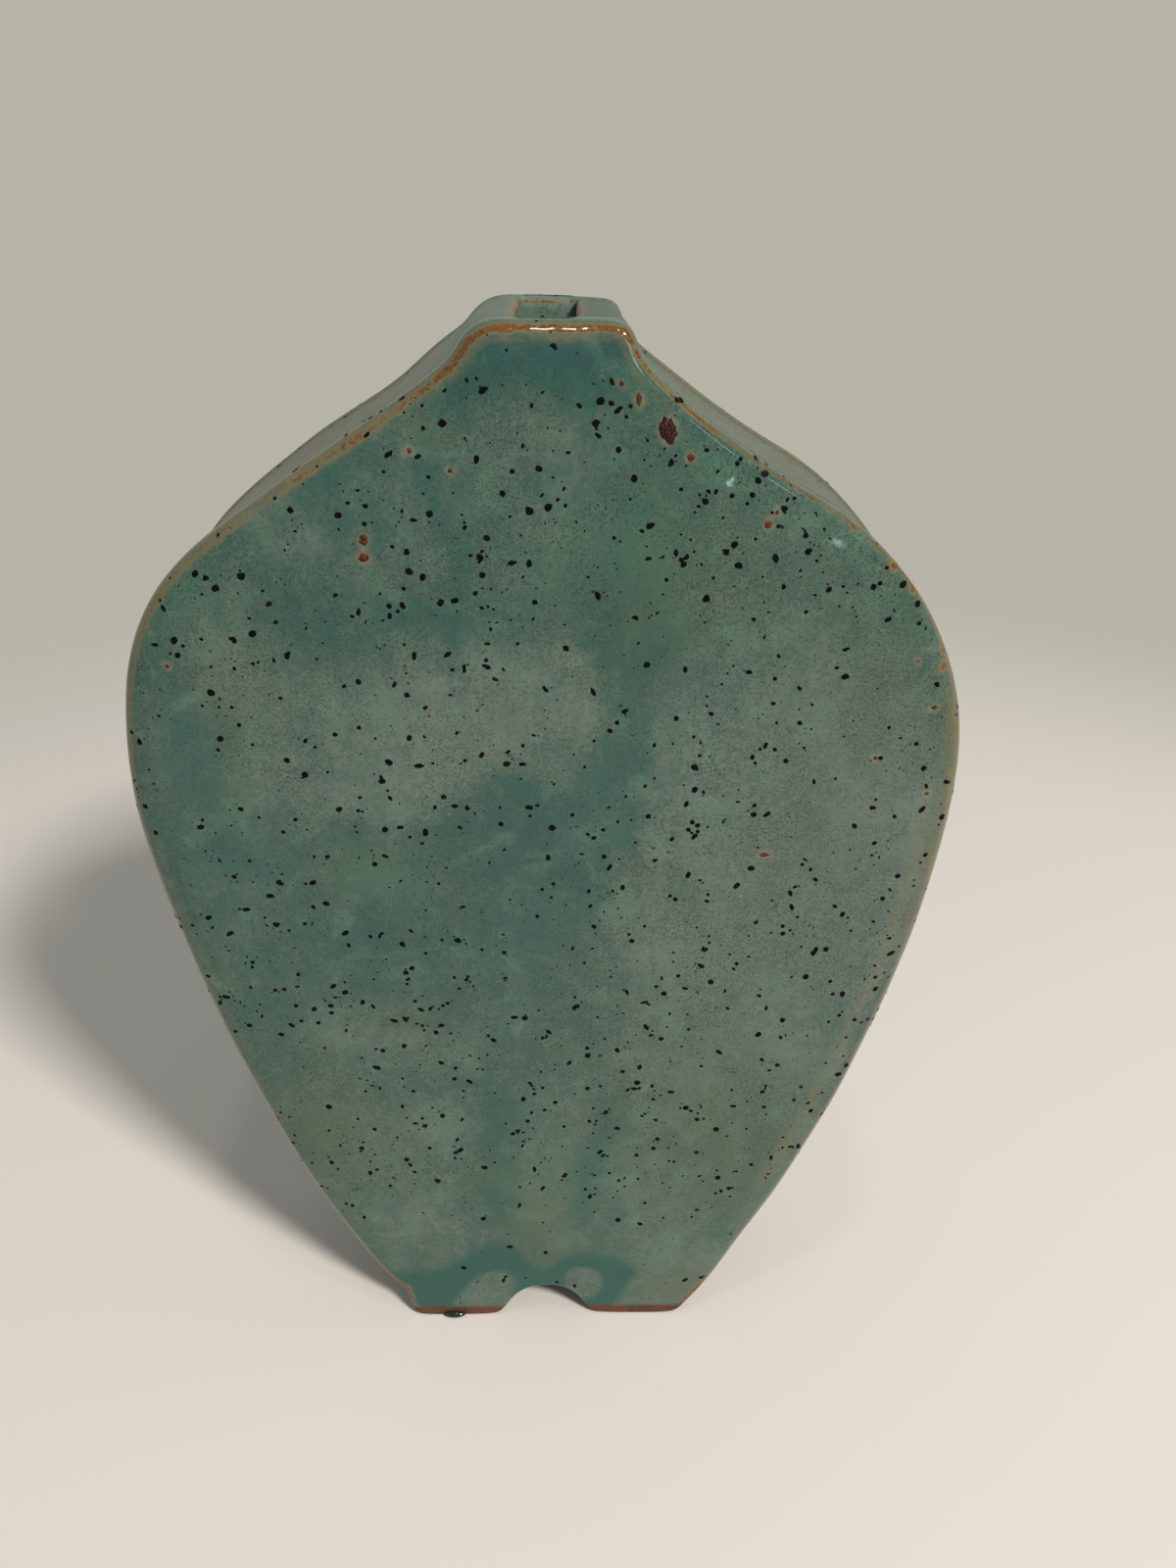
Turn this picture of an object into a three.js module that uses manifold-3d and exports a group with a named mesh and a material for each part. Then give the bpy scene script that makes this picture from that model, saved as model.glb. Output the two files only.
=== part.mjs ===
// Slab-built bud vase. Two shield-shaped clay slabs are joined by two side walls bent to their
// edge. A floor is raised above an arched foot, and clay coils are pressed into the inside seams.
// The mouth is the gap left between the wall ends and the slabs at the top of the neck.
// Millimetres, +Z up, origin on the table under the middle of the vase, front slab facing -Y.

import * as THREE from 'three';
import { mergeVertices } from 'three/addons/utils/BufferGeometryUtils.js';
import Module from 'manifold-3d';

const wasm = await Module();
wasm.setup();

// Overall size
const WIDTH = 154;
const DEPTH = 46;
const HEIGHT = 220;

// Thickness of the rolled clay, and the radius of the fillets that the coils are smoothed to
const SLAB = 6;
const WALL = 6;
const FLOOR = 6;
const COIL_RADIUS = 7;

// Fits: the walls lie inside the slab edge, and pieces meet across a thin layer of slip
const RECESS = 0.8;
const SLIP = 0.3;

// Rounding of a slab's edge: outer arris, the sharper arris at the foot, and the inner edge
const ARRIS = 3;
const FOOT_ARRIS = 1.2;
const FOOT_ARRIS_REACH = 25;
const INNER_EASE = 0.5;

// The arch cut into the foot of both slabs, and the floor above it
const ARCH_CENTRE = -1.6;
const ARCH_WIDTH = 22.5;
const ARCH_HEIGHT = 9;
const ARCH_LEAN = 2;
const ARCH_KNEE = 3.5;
const ARCH_CROWN = 8.2;
const FLOOR_CLEARANCE = 1.5;

// How far below the lip the coils along the walls stop
const COIL_DROP = 18;

// How far the lines that cut right through run on past the foot and the lip
const OVERRUN = 20;

// The sides are cut by hand and differ a little. Lengths in mm from the middle line or the table,
// drops from the lip, slopes in degrees, and pulls as the length over which a slope is held.
const LEFT = {
  sign: -1,
  foot: 31.8,
  footRound: 3,
  footRise: 7.8,
  footSplay: 1.8,
  flankLean: 50,
  flankPull: 28,
  bellyDrop: 83.5,
  bellyPullDown: 23.5,
  bellyPullUp: 38.5,
  shoulder: 46,
  shoulderDrop: 27.3,
  shoulderSlope: 35,
  shoulderPullDown: 19.8,
  shoulderPullUp: 11.5,
  neck: 11.5,
  neckSlope: 65,
  neckPull: 4,
  neckRound: 5,
};
const RIGHT = {
  sign: 1,
  foot: 29.5,
  footRound: 3,
  footRise: 3.7,
  footSplay: 2.1,
  flankLean: 40,
  flankPull: 30.5,
  bellyDrop: 79.3,
  bellyPullDown: 46.6,
  bellyPullUp: 30,
  shoulder: 46,
  shoulderDrop: 27.8,
  shoulderSlope: 28,
  shoulderPullDown: 10,
  shoulderPullUp: 12,
  neck: 13.7,
  neckSlope: 79,
  neckPull: 5,
  neckRound: 4,
};

// Facets: steps along each curve of the outline and around a rounded edge
const CURVE_STEPS = 12;
const EDGE_STEPS = 5;

// Faces of the slabs and levels of the floor, from the sizes above
const innerFace = DEPTH / 2 - SLAB;
const wallFace = innerFace - SLIP;
const floorBottom = ARCH_HEIGHT + FLOOR_CLEARANCE;
const floorTop = floorBottom + FLOOR;
const hollowInset = RECESS + WALL;
const bellyLevel = HEIGHT - Math.max(LEFT.bellyDrop, RIGHT.bellyDrop);

const GLAZE_COLOUR = 0x5d7a6c;
const CLAY_COLOUR = 0x8a674a;

// Outline of the vase, in the plane of a slab: x across, y up

const heading = (degrees) => {
  const angle = THREE.MathUtils.degToRad(degrees);
  return new THREE.Vector2(Math.cos(angle), Math.sin(angle));
};

const along = (point, direction, distance) => point.clone().addScaledVector(direction, distance);

// The curves of one side from the foot to the neck, drawn for the right-hand side.
function drawFlank(path, side) {
  const ankle = new THREE.Vector2(side.foot + side.footSplay, side.footRise);
  const belly = new THREE.Vector2(WIDTH / 2, HEIGHT - side.bellyDrop);
  const shoulder = new THREE.Vector2(side.shoulder, HEIGHT - side.shoulderDrop);
  const lip = new THREE.Vector2(side.neck, HEIGHT);
  const flankUp = heading(90 - side.flankLean);
  const shoulderUp = heading(180 - side.shoulderSlope);
  const neckUp = heading(180 - side.neckSlope);
  const neckTop = along(lip, neckUp, -side.neckRound);

  const flankHandle = along(ankle, flankUp, side.flankPull);
  const shoulderLow = along(shoulder, shoulderUp, -side.shoulderPullDown);
  const shoulderHigh = along(shoulder, shoulderUp, side.shoulderPullUp);
  const neckHandle = along(neckTop, neckUp, -side.neckPull);
  const underBelly = belly.y - side.bellyPullDown;
  const overBelly = belly.y + side.bellyPullUp;

  path.lineTo(ankle.x, ankle.y);
  path.bezierCurveTo(flankHandle.x, flankHandle.y, belly.x, underBelly, belly.x, belly.y);
  path.bezierCurveTo(belly.x, overBelly, shoulderLow.x, shoulderLow.y, shoulder.x, shoulder.y);
  path.bezierCurveTo(shoulderHigh.x, shoulderHigh.y, neckHandle.x, neckHandle.y, neckTop.x, neckTop.y);
}

const mirrored = (points, side) => points.map((point) => new THREE.Vector2(point.x * side.sign, point.y));

// A slab's side with its rounded corners, from the flat of the foot to the flat of the lip.
function slabSide(side) {
  const corner = new THREE.Vector2(side.foot, 0);
  const ankle = new THREE.Vector2(side.foot + side.footSplay, side.footRise);
  const footSide = along(corner, ankle.clone().sub(corner).normalize(), side.footRound);
  const path = new THREE.Path();
  path.moveTo(side.foot - side.footRound, 0);
  path.quadraticCurveTo(corner.x, corner.y, footSide.x, footSide.y);
  drawFlank(path, side);
  path.quadraticCurveTo(side.neck, HEIGHT, side.neck - side.neckRound, HEIGHT);
  return mirrored(path.getPoints(CURVE_STEPS), side);
}

// The same side run on straight past the foot and the lip, for what passes right through.
function throughSide(side) {
  const corner = new THREE.Vector2(side.foot, 0);
  const ankle = new THREE.Vector2(side.foot + side.footSplay, side.footRise);
  const start = along(corner, ankle.clone().sub(corner).normalize(), -OVERRUN);
  const end = along(new THREE.Vector2(side.neck, HEIGHT), heading(180 - side.neckSlope), side.neckRound);
  const path = new THREE.Path();
  path.moveTo(start.x, start.y);
  drawFlank(path, side);
  path.lineTo(end.x, end.y);
  path.lineTo(end.x, HEIGHT + OVERRUN);
  return mirrored(path.getPoints(CURVE_STEPS), side);
}

// The arch from its right foot over the crown to its left foot.
function archCurve() {
  const half = ARCH_WIDTH / 2;
  const path = new THREE.Path();
  path.moveTo(half, 0);
  path.bezierCurveTo(half - ARCH_LEAN, ARCH_KNEE, ARCH_CROWN, ARCH_HEIGHT, 0, ARCH_HEIGHT);
  path.bezierCurveTo(-ARCH_CROWN, ARCH_HEIGHT, ARCH_LEAN - half, ARCH_KNEE, -half, 0);
  return path.getPoints(CURVE_STEPS).map((point) => point.setX(point.x + ARCH_CENTRE));
}

// The whole outline, counter-clockwise as seen from the front.
function slabOutline() {
  const left = slabSide(LEFT).reverse();
  return [...archCurve().reverse(), ...slabSide(RIGHT), ...left];
}

// Moves each point of a line inwards, to the left of its direction, with mitred corners.
function inset(points, distance, closed) {
  const count = points.length;
  return points.map((point, index) => {
    const before = points[closed ? (index + count - 1) % count : Math.max(index - 1, 0)];
    const after = points[closed ? (index + 1) % count : Math.min(index + 1, count - 1)];
    const arriving = point.clone().sub(before).normalize();
    const leaving = after.clone().sub(point).normalize();
    const direction = arriving.clone().add(leaving).normalize();
    const mitre = Math.max(direction.dot(arriving), direction.dot(leaving));
    const amount = typeof distance === 'function' ? distance(point) : distance;
    const normal = new THREE.Vector2(-direction.y, direction.x);
    return along(point, normal, amount / mitre);
  });
}

// The inner face of a wall, drawn in by a further distance and run on past the foot and the lip.
function wallLine(side, clearance) {
  const line = throughSide(side);
  const ordered = side.sign > 0 ? line : line.reverse();
  return inset(ordered, hollowInset + clearance, false);
}

// The space between the walls, right through the vase or only up to a given height.
function hollowOutline(clearance, top = Infinity) {
  const lines = [...wallLine(RIGHT, clearance), ...wallLine(LEFT, clearance)];
  return lines.filter((point) => point.y <= top);
}

// Where a wall's inner face, drawn in by a clearance, lies at a height.
function wallFaceAt(side, clearance, height) {
  const line = wallLine(side, clearance);
  const index = line.findIndex((point, k) => k > 0 && (point.y - height) * (line[k - 1].y - height) <= 0);
  const [low, high] = [line[index - 1], line[index]];
  return THREE.MathUtils.mapLinear(height, low.y, high.y, low.x, high.x);
}

// Solids

// A closed outline carried straight from one depth to another, its plane standing upright.
function prism(points, fromY, toY) {
  const settings = { depth: toY - fromY, bevelEnabled: false };
  const geometry = new THREE.ExtrudeGeometry(new THREE.Shape(points), settings);
  geometry.rotateX(Math.PI / 2);
  geometry.translate(0, toY, 0);
  return solidOf(geometry);
}

function block(low, high) {
  const size = high.map((value, axis) => value - low[axis]);
  const geometry = new THREE.BoxGeometry(...size);
  geometry.translate(...low.map((value, axis) => value + size[axis] / 2));
  return solidOf(geometry);
}

function solidOf(geometry) {
  geometry.deleteAttribute('normal');
  geometry.deleteAttribute('uv');
  const merged = mergeVertices(geometry);
  const mesh = new wasm.Mesh({
    numProp: 3,
    vertProperties: new Float32Array(merged.attributes.position.array),
    triVerts: new Uint32Array(merged.index.array),
  });
  return new wasm.Manifold(mesh);
}

function geometryOf(solid) {
  const mesh = solid.getMesh();
  const geometry = new THREE.BufferGeometry();
  geometry.setAttribute('position', new THREE.BufferAttribute(mesh.vertProperties, 3));
  geometry.setIndex(new THREE.BufferAttribute(mesh.triVerts, 1));
  geometry.computeVertexNormals();
  return geometry;
}

// Joins rings of equal point counts, listed from front to back and each counter-clockwise as seen
// from the front, and closes the first and the last with flat ends.
function loft(rings) {
  const count = rings[0].length;
  const positions = rings.flat().flatMap((point) => [point.x, point.y, point.z]);
  const triangles = [];
  for (let ring = 0; ring < rings.length - 1; ring += 1) {
    for (let index = 0; index < count; index += 1) {
      const next = (index + 1) % count;
      const a = ring * count + index;
      const b = ring * count + next;
      triangles.push(a, a + count, b, b, a + count, b + count);
    }
  }
  const flat = (ring) => ring.map((point) => new THREE.Vector2(point.x, point.z));
  const last = (rings.length - 1) * count;
  for (const [a, b, c] of THREE.ShapeUtils.triangulateShape(flat(rings[0]), [])) {
    triangles.push(a, b, c);
  }
  for (const [a, b, c] of THREE.ShapeUtils.triangulateShape(flat(rings.at(-1)), [])) {
    triangles.push(last + a, last + c, last + b);
  }
  const geometry = new THREE.BufferGeometry();
  geometry.setAttribute('position', new THREE.Float32BufferAttribute(positions, 3));
  geometry.setIndex(triangles);
  geometry.computeVertexNormals();
  return geometry;
}

// Radius of the outer arris at a height: small at the foot, full from the flank upwards.
function arrisAt(point) {
  const share = THREE.MathUtils.smoothstep(point.y, 0, FOOT_ARRIS_REACH);
  return THREE.MathUtils.lerp(FOOT_ARRIS, ARRIS, share);
}

// A slab, drawn as the front one: its face, the quarter round of its arris and its eased inner edge.
function slabRings() {
  const outline = slabOutline();
  const face = -DEPTH / 2;
  const rings = [];
  for (let step = EDGE_STEPS; step >= 0; step -= 1) {
    const angle = (step / EDGE_STEPS) * (Math.PI / 2);
    const drawnIn = inset(outline, (point) => arrisAt(point) * (1 - Math.cos(angle)), true);
    const depthAt = (point) => face + arrisAt(point) * (1 - Math.sin(angle));
    rings.push(drawnIn.map((point, k) => new THREE.Vector3(point.x, depthAt(outline[k]), point.y)));
  }
  const easeStart = -innerFace - INNER_EASE;
  const eased = inset(outline, INNER_EASE, true);
  rings.push(outline.map((point) => new THREE.Vector3(point.x, easeStart, point.y)));
  rings.push(eased.map((point) => new THREE.Vector3(point.x, -innerFace, point.y)));
  return rings;
}

function frontSlab() {
  return loft(slabRings());
}

function backSlab() {
  const turned = slabRings().map((ring) => ring.map((point) => point.setY(-point.y)));
  return loft(turned.reverse());
}

// A wall is the band between the recessed outline and the hollow, on one side of the mouth.
function sideWall(side) {
  const body = prism(inset(slabOutline(), RECESS, true), -wallFace, wallFace);
  const band = body.subtract(prism(hollowOutline(0), -DEPTH, DEPTH));
  const edge = side.sign * WIDTH;
  const half = block([Math.min(0, edge), -DEPTH, -HEIGHT], [Math.max(0, edge), DEPTH, 2 * HEIGHT]);
  return geometryOf(band.intersect(half));
}

function floorSlab() {
  const between = prism(hollowOutline(SLIP, bellyLevel), -wallFace, wallFace);
  const layer = block([-WIDTH, -DEPTH, floorBottom], [WIDTH, DEPTH, floorTop]);
  return geometryOf(between.intersect(layer));
}

// A coil smoothed into a seam leaves a hollow fillet with a blunt lip on each face. Each step gives
// how far the fillet reaches along one face at a height above the other.
const LIP_ANGLE = THREE.MathUtils.degToRad(25);
const coilLeg = COIL_RADIUS * (1 - Math.sin(LIP_ANGLE));

function filletSteps() {
  const steps = [{ reach: coilLeg, rise: 0 }];
  for (let step = 0; step <= EDGE_STEPS; step += 1) {
    const angle = THREE.MathUtils.lerp(LIP_ANGLE, Math.PI / 2 - LIP_ANGLE, step / EDGE_STEPS);
    steps.push({ reach: COIL_RADIUS * (1 - Math.sin(angle)), rise: COIL_RADIUS * (1 - Math.cos(angle)) });
  }
  return steps;
}

// The coil along the seam of a wall and the back slab, from the floor to below the mouth.
function wallCoil(side) {
  const rings = filletSteps().map(({ reach, rise }) => {
    const ring = [...wallLine(side, SLIP), ...wallLine(side, SLIP + reach).reverse()];
    return ring.map((point) => new THREE.Vector3(point.x, wallFace - rise, point.y));
  });
  const low = [-WIDTH, -DEPTH, floorTop + SLIP];
  const high = [WIDTH, DEPTH, HEIGHT - COIL_DROP];
  return geometryOf(solidOf(loft(rings.reverse())).intersect(block(low, high)));
}

// The coil along the seam of the floor and the back slab, between the two wall coils.
function floorCoil() {
  const foot = floorTop + SLIP;
  const section = filletSteps().map(({ reach, rise }) => new THREE.Vector2(wallFace - rise, foot + reach));
  section.push(new THREE.Vector2(wallFace - coilLeg, foot));
  section.push(new THREE.Vector2(wallFace, foot));
  const settings = { depth: 2 * WIDTH, bevelEnabled: false };
  const bar = new THREE.ExtrudeGeometry(new THREE.Shape(section), settings);
  bar.rotateX(Math.PI / 2);
  bar.rotateZ(Math.PI / 2);
  bar.translate(-WIDTH, 0, 0);
  const between = hollowOutline(2 * SLIP + coilLeg, bellyLevel);
  return geometryOf(solidOf(bar).intersect(prism(between, -DEPTH, DEPTH)));
}

// The coil along the seam of the floor and one wall, from the front slab to the back coils.
function cornerCoil(side) {
  const foot = floorTop + SLIP;
  const section = filletSteps().map(({ reach, rise }) => {
    const seat = wallFaceAt(side, SLIP, foot + rise);
    return new THREE.Vector2(seat - side.sign * reach, foot + rise);
  });
  section.push(new THREE.Vector2(side.sign * WIDTH, foot + coilLeg));
  section.push(new THREE.Vector2(side.sign * WIDTH, foot));
  const bar = prism(section, -wallFace, wallFace - coilLeg - SLIP);
  return geometryOf(bar.intersect(prism(hollowOutline(SLIP, bellyLevel), -DEPTH, DEPTH)));
}

const group = new THREE.Group();
group.name = 'bud_vase';

function addPiece(name, geometry, colour, roughness) {
  const material = new THREE.MeshStandardMaterial({ color: colour, roughness, metalness: 0 });
  const mesh = new THREE.Mesh(geometry, material);
  mesh.name = name;
  group.add(mesh);
}

const GLAZE_ROUGHNESS = 0.2;
const CLAY_ROUGHNESS = 0.7;

addPiece('back_slab', backSlab(), GLAZE_COLOUR, GLAZE_ROUGHNESS);
addPiece('left_wall', sideWall(LEFT), GLAZE_COLOUR, GLAZE_ROUGHNESS);
addPiece('right_wall', sideWall(RIGHT), GLAZE_COLOUR, GLAZE_ROUGHNESS);
addPiece('floor', floorSlab(), GLAZE_COLOUR, GLAZE_ROUGHNESS);
addPiece('left_seam_coil', wallCoil(LEFT), CLAY_COLOUR, CLAY_ROUGHNESS);
addPiece('right_seam_coil', wallCoil(RIGHT), CLAY_COLOUR, CLAY_ROUGHNESS);
addPiece('floor_seam_coil', floorCoil(), CLAY_COLOUR, CLAY_ROUGHNESS);
addPiece('left_floor_coil', cornerCoil(LEFT), CLAY_COLOUR, CLAY_ROUGHNESS);
addPiece('right_floor_coil', cornerCoil(RIGHT), CLAY_COLOUR, CLAY_ROUGHNESS);
addPiece('front_slab', frontSlab(), GLAZE_COLOUR, GLAZE_ROUGHNESS);

export default group;
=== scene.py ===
import math
from functools import partial

import bmesh
import bpy
import numpy as np
from mathutils import Matrix, Vector, noise
from mathutils.geometry import delaunay_2d_cdt


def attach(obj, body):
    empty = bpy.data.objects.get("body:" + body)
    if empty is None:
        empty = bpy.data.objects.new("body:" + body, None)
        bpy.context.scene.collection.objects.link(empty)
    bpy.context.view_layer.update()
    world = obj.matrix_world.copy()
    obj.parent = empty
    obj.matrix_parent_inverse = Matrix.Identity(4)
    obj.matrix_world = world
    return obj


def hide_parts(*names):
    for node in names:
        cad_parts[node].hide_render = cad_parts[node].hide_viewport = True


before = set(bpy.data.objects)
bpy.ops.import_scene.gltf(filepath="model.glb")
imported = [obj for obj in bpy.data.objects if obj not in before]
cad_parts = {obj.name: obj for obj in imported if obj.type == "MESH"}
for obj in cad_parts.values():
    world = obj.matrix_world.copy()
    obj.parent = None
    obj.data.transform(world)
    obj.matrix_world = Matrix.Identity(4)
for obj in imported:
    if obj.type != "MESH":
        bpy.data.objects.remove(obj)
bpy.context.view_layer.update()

# Front and back slabs. Each is a sheet of speckled stoneware, rolled about 6 mm thick and cut by
# hand to one shield outline with an arch between its two feet. The edges are rounded with a sponge
# and stand a little proud of the walls. A thick glossy glaze covers all but the soles of the feet.

MM = 0.001
HEIGHT, HALF_WIDTH = 220.0, 77.0
SLAB_FACE, SLAB_INSIDE = 23.0, 17.0
SLAB_ARRIS, FOOT_ARRIS, ARCH_ARRIS = 3.0, 0.6, 0.8
FOOT_ARRIS_REACH = 25.0
ARCH_ARRIS_RISE = (1.5, 6)
ARRIS_RINGS = 16
SHARP_SHOULDER = 0.45
SHARP_ACROSS, SHARP_UP = (10, 16), (165, 180)
INNER_ROUND, INNER_RINGS = 0.35, 9
HIDDEN_RADIANS = 1.0
MOUTH_ROUND = 2.4
MOUTH_LEFT, MOUTH_RIGHT = -4.6, 5.9
MOUTH_BLEND = (-0.4, 1.2)
LIP_BAND = 2.0
BEVEL_WIDTH, BEVEL_SLOPE, BEVEL_EASE = 5.0, 0.26, 0.9
BEVEL_WANDER, BEVEL_WANDER_SIZE, BEVEL_SEED = 1.3, 14, 13.0
BEVEL_SOFTER = 0.7
SOFTER_ACROSS, SOFTER_UP = (8, 14), (168, 182)
ARCH_CENTRE, ARCH_HALF, ARCH_HEIGHT = -1.2, 10.9, 9.0
ARCH_LEAN, ARCH_KNEE, ARCH_CROWN = 2.6, 3.9, 7.0
ARCH_MARGIN = 0.6
SOLE_LIFT, SOLE_LIFT_REACH, SOLE_OVERRUN = 0.45, 5.0, 1.5
CURVE_STEP, OUTLINE_STEP, OUTLINE_SPONGE = 0.3, 0.55, 1.1
FACE_GRID, INSIDE_GRID = 1.05, 6.0
GRID_ROW, GRID_CLEAR = 0.866, 0.6
FULLER_REACH = 10

# Flatter facets of the bevel: x, z, size, how much steeper and how much wider.
BEVEL_FACETS = ((31.3, 195.6, 3.2, 0.65, 1.2), (48.5, 184.8, 4.5, 0.6, 0.8))
# Where the back slab was cut fuller than the front: x, z, reach and amount.
BACK_FULLER = ((-17.0, 209.0, 9.0, 1.5), (-42.0, 194.0, 16.0, 0.8), (14.5, 214.0, 8.0, -1.0))
# Hollows and dimples of a face: depth, size, where from the edge they begin and are full, shift of the seed.
FACE_WAVES = ((0.25, 38, (4, 22), 0), (0.06, 8, (2.5, 5), 20))

LEFT_SIDE = {
    "sign": -1, "foot": 31.8, "foot_round": 1.4, "foot_rise": 7.8, "foot_splay": 1.8,
    "flank_lean": 50, "flank_pull": 28.0,
    "belly_drop": 83.5, "belly_pull_down": 23.5, "belly_pull_up": 38.5,
    "shoulder": 46.0, "shoulder_drop": 27.3, "shoulder_slope": 35,
    "shoulder_pull_down": 19.8, "shoulder_pull_up": 11.5,
    "neck": 11.5, "neck_slope": 65, "neck_pull": 4.0, "neck_round": 5.0, "lip_swell": 0.0,
}
RIGHT_SIDE = {
    "sign": 1, "foot": 29.5, "foot_round": 1.4, "foot_rise": 3.7, "foot_splay": 2.1,
    "flank_lean": 40, "flank_pull": 30.5,
    "belly_drop": 79.3, "belly_pull_down": 46.6, "belly_pull_up": 30.0,
    "shoulder": 46.0, "shoulder_drop": 27.8, "shoulder_slope": 28,
    "shoulder_pull_down": 10.0, "shoulder_pull_up": 12.0,
    "neck": 14.7, "neck_slope": 79, "neck_pull": 5.0, "neck_round": 4.0, "lip_swell": 2.0,
}


def curve(*control):
    """Points along a line or a Bezier curve, close together and without its last point."""
    control = np.array(control, float)
    length = np.linalg.norm(np.diff(control, axis=0), axis=1).sum()
    t = np.linspace(0, 1, max(4, int(length / CURVE_STEP)), endpoint=False)[:, None]
    levels = [np.repeat(point[None], len(t), 0) for point in control]
    while len(levels) > 1:
        levels = [a + (b - a) * t for a, b in zip(levels, levels[1:])]
    return levels[0]


def heading(degrees):
    return np.array([math.cos(math.radians(degrees)), math.sin(math.radians(degrees))])


def unit(ways):
    return ways / np.linalg.norm(ways, axis=-1, keepdims=True)


def flank_curves(side):
    """A side from the ankle over the belly and the shoulder to below the lip, drawn for the right."""
    neck_way = heading(180 - side["neck_slope"])
    neck = np.array([side["neck"], HEIGHT]) - neck_way * side["neck_round"]
    knots = (
        ((side["foot"] + side["foot_splay"], side["foot_rise"]),
         heading(90 - side["flank_lean"]), 0, side["flank_pull"]),
        ((HALF_WIDTH, HEIGHT - side["belly_drop"]),
         np.array([0.0, 1.0]), side["belly_pull_down"], side["belly_pull_up"]),
        ((side["shoulder"], HEIGHT - side["shoulder_drop"]),
         heading(180 - side["shoulder_slope"]), side["shoulder_pull_down"], side["shoulder_pull_up"]),
        (neck, neck_way, side["neck_pull"], 0),
    )
    curves = [curve(start, start + start_way * pull_up, end - end_way * pull_down, end)
              for (start, start_way, _, pull_up), (end, end_way, pull_down, _) in zip(knots, knots[1:])]
    return np.concatenate([*curves, neck[None]])


def side_line(side):
    """A side with its rounded corners, from the sole of the foot to the top of the lip."""
    corner = np.array([side["foot"], 0.0])
    flank = flank_curves(side)
    foot_side = corner + unit(flank[0] - corner) * side["foot_round"]
    lip = np.array([side["neck"], HEIGHT])
    line = np.concatenate([
        curve(corner - [side["foot_round"], 0], corner, foot_side),
        curve(foot_side, flank[0]),
        flank[:-1],
        curve(flank[-1], lip, lip - [side["neck_round"], 0]),
    ])
    return line * [side["sign"], 1]


def evenly(line, step):
    """A closed line with its points set one step apart."""
    closed = np.vstack([line, line[:1]])
    run = np.r_[0, np.cumsum(np.linalg.norm(np.diff(closed, axis=0), axis=1))]
    at = np.linspace(0, run[-1], int(run[-1] / step), endpoint=False)
    return np.c_[np.interp(at, run, closed[:, 0]), np.interp(at, run, closed[:, 1])]


def sponged(line, reach, step):
    """A closed line of even points with its corners rounded as by a wet sponge."""
    span = int(3 * reach / step) + 1
    weights = {k: math.exp(-0.5 * (k * step / reach) ** 2) for k in range(-span, span + 1)}
    return sum(np.roll(line, k, axis=0) * w for k, w in weights.items()) / sum(weights.values())


def inward(line):
    """Unit vectors to the inside of a closed line that runs counter-clockwise."""
    ahead = unit(np.roll(line, -1, axis=0) - np.roll(line, 1, axis=0))
    return np.c_[-ahead[:, 1], ahead[:, 0]]


def ease(low, high, value):
    t = np.clip((np.asarray(value, float) - low) / (high - low), 0, 1)
    return t * t * (3 - 2 * t)


def spell(value, start, full, fading, end):
    """Rises from start to full, and goes again between fading and end."""
    return ease(start, full, value) * (1 - ease(fading, end, value))


def hump(value, middle, width):
    return np.exp(-((value - middle) / width) ** 2)


def wave(points, size, seed):
    """Smooth hand-made unevenness between -1 and 1 over the points of a plane."""
    return np.array([noise.noise(Vector((x / size, z / size, seed))) for x, z in points])


arch_knee, arch_crown = (ARCH_HALF - ARCH_LEAN, ARCH_KNEE), (ARCH_CROWN, ARCH_HEIGHT)
arch_right = ((0, ARCH_HEIGHT), arch_crown, arch_knee, (ARCH_HALF, 0))
arch_left = [(-x, z) for x, z in arch_right[::-1]]
arch = np.concatenate([curve(*arch_left), curve(*arch_right)]) + [ARCH_CENTRE, 0]
shield = np.concatenate([arch, side_line(RIGHT_SIDE), side_line(LEFT_SIDE)[::-1]])
shield = sponged(evenly(shield, OUTLINE_STEP), OUTLINE_SPONGE, OUTLINE_STEP)
for inner_end, outer_end in ((ARCH_CENTRE - ARCH_HALF, -LEFT_SIDE["foot"]),
                             (ARCH_CENTRE + ARCH_HALF, RIGHT_SIDE["foot"])):
    across = (shield[:, 0] - (inner_end + outer_end) / 2) / abs(outer_end - inner_end) * 2
    on_sole = (np.abs(across) < SOLE_OVERRUN) * (1 - ease(0, SOLE_LIFT_REACH, shield[:, 1]))
    shield[:, 1] += SOLE_LIFT * np.clip(np.abs(across), 0, 1) ** 3 * on_sole
shield_in = inward(shield)

arris_radius = FOOT_ARRIS + (SLAB_ARRIS - FOOT_ARRIS) * ease(0, FOOT_ARRIS_REACH, shield[:, 1])
arch_radius = FOOT_ARRIS + (ARCH_ARRIS - FOOT_ARRIS) * ease(*ARCH_ARRIS_RISE, shield[:, 1])
on_arch = np.abs(shield[:, 0] - ARCH_CENTRE) < ARCH_HALF + ARCH_MARGIN
on_arch &= shield[:, 1] < ARCH_HEIGHT + ARCH_MARGIN
arris_radius[on_arch] = arch_radius[on_arch]
arris_radius *= 1 - SHARP_SHOULDER * ease(*SHARP_ACROSS, shield[:, 0]) * ease(*SHARP_UP, shield[:, 1])
over_mouth = np.minimum(shield[:, 0] - MOUTH_LEFT, MOUTH_RIGHT - shield[:, 0])
mouth_share = ease(*MOUTH_BLEND, over_mouth) * (shield[:, 1] > HEIGHT - LIP_BAND)
inner_round = INNER_ROUND + (MOUTH_ROUND - INNER_ROUND) * mouth_share


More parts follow.
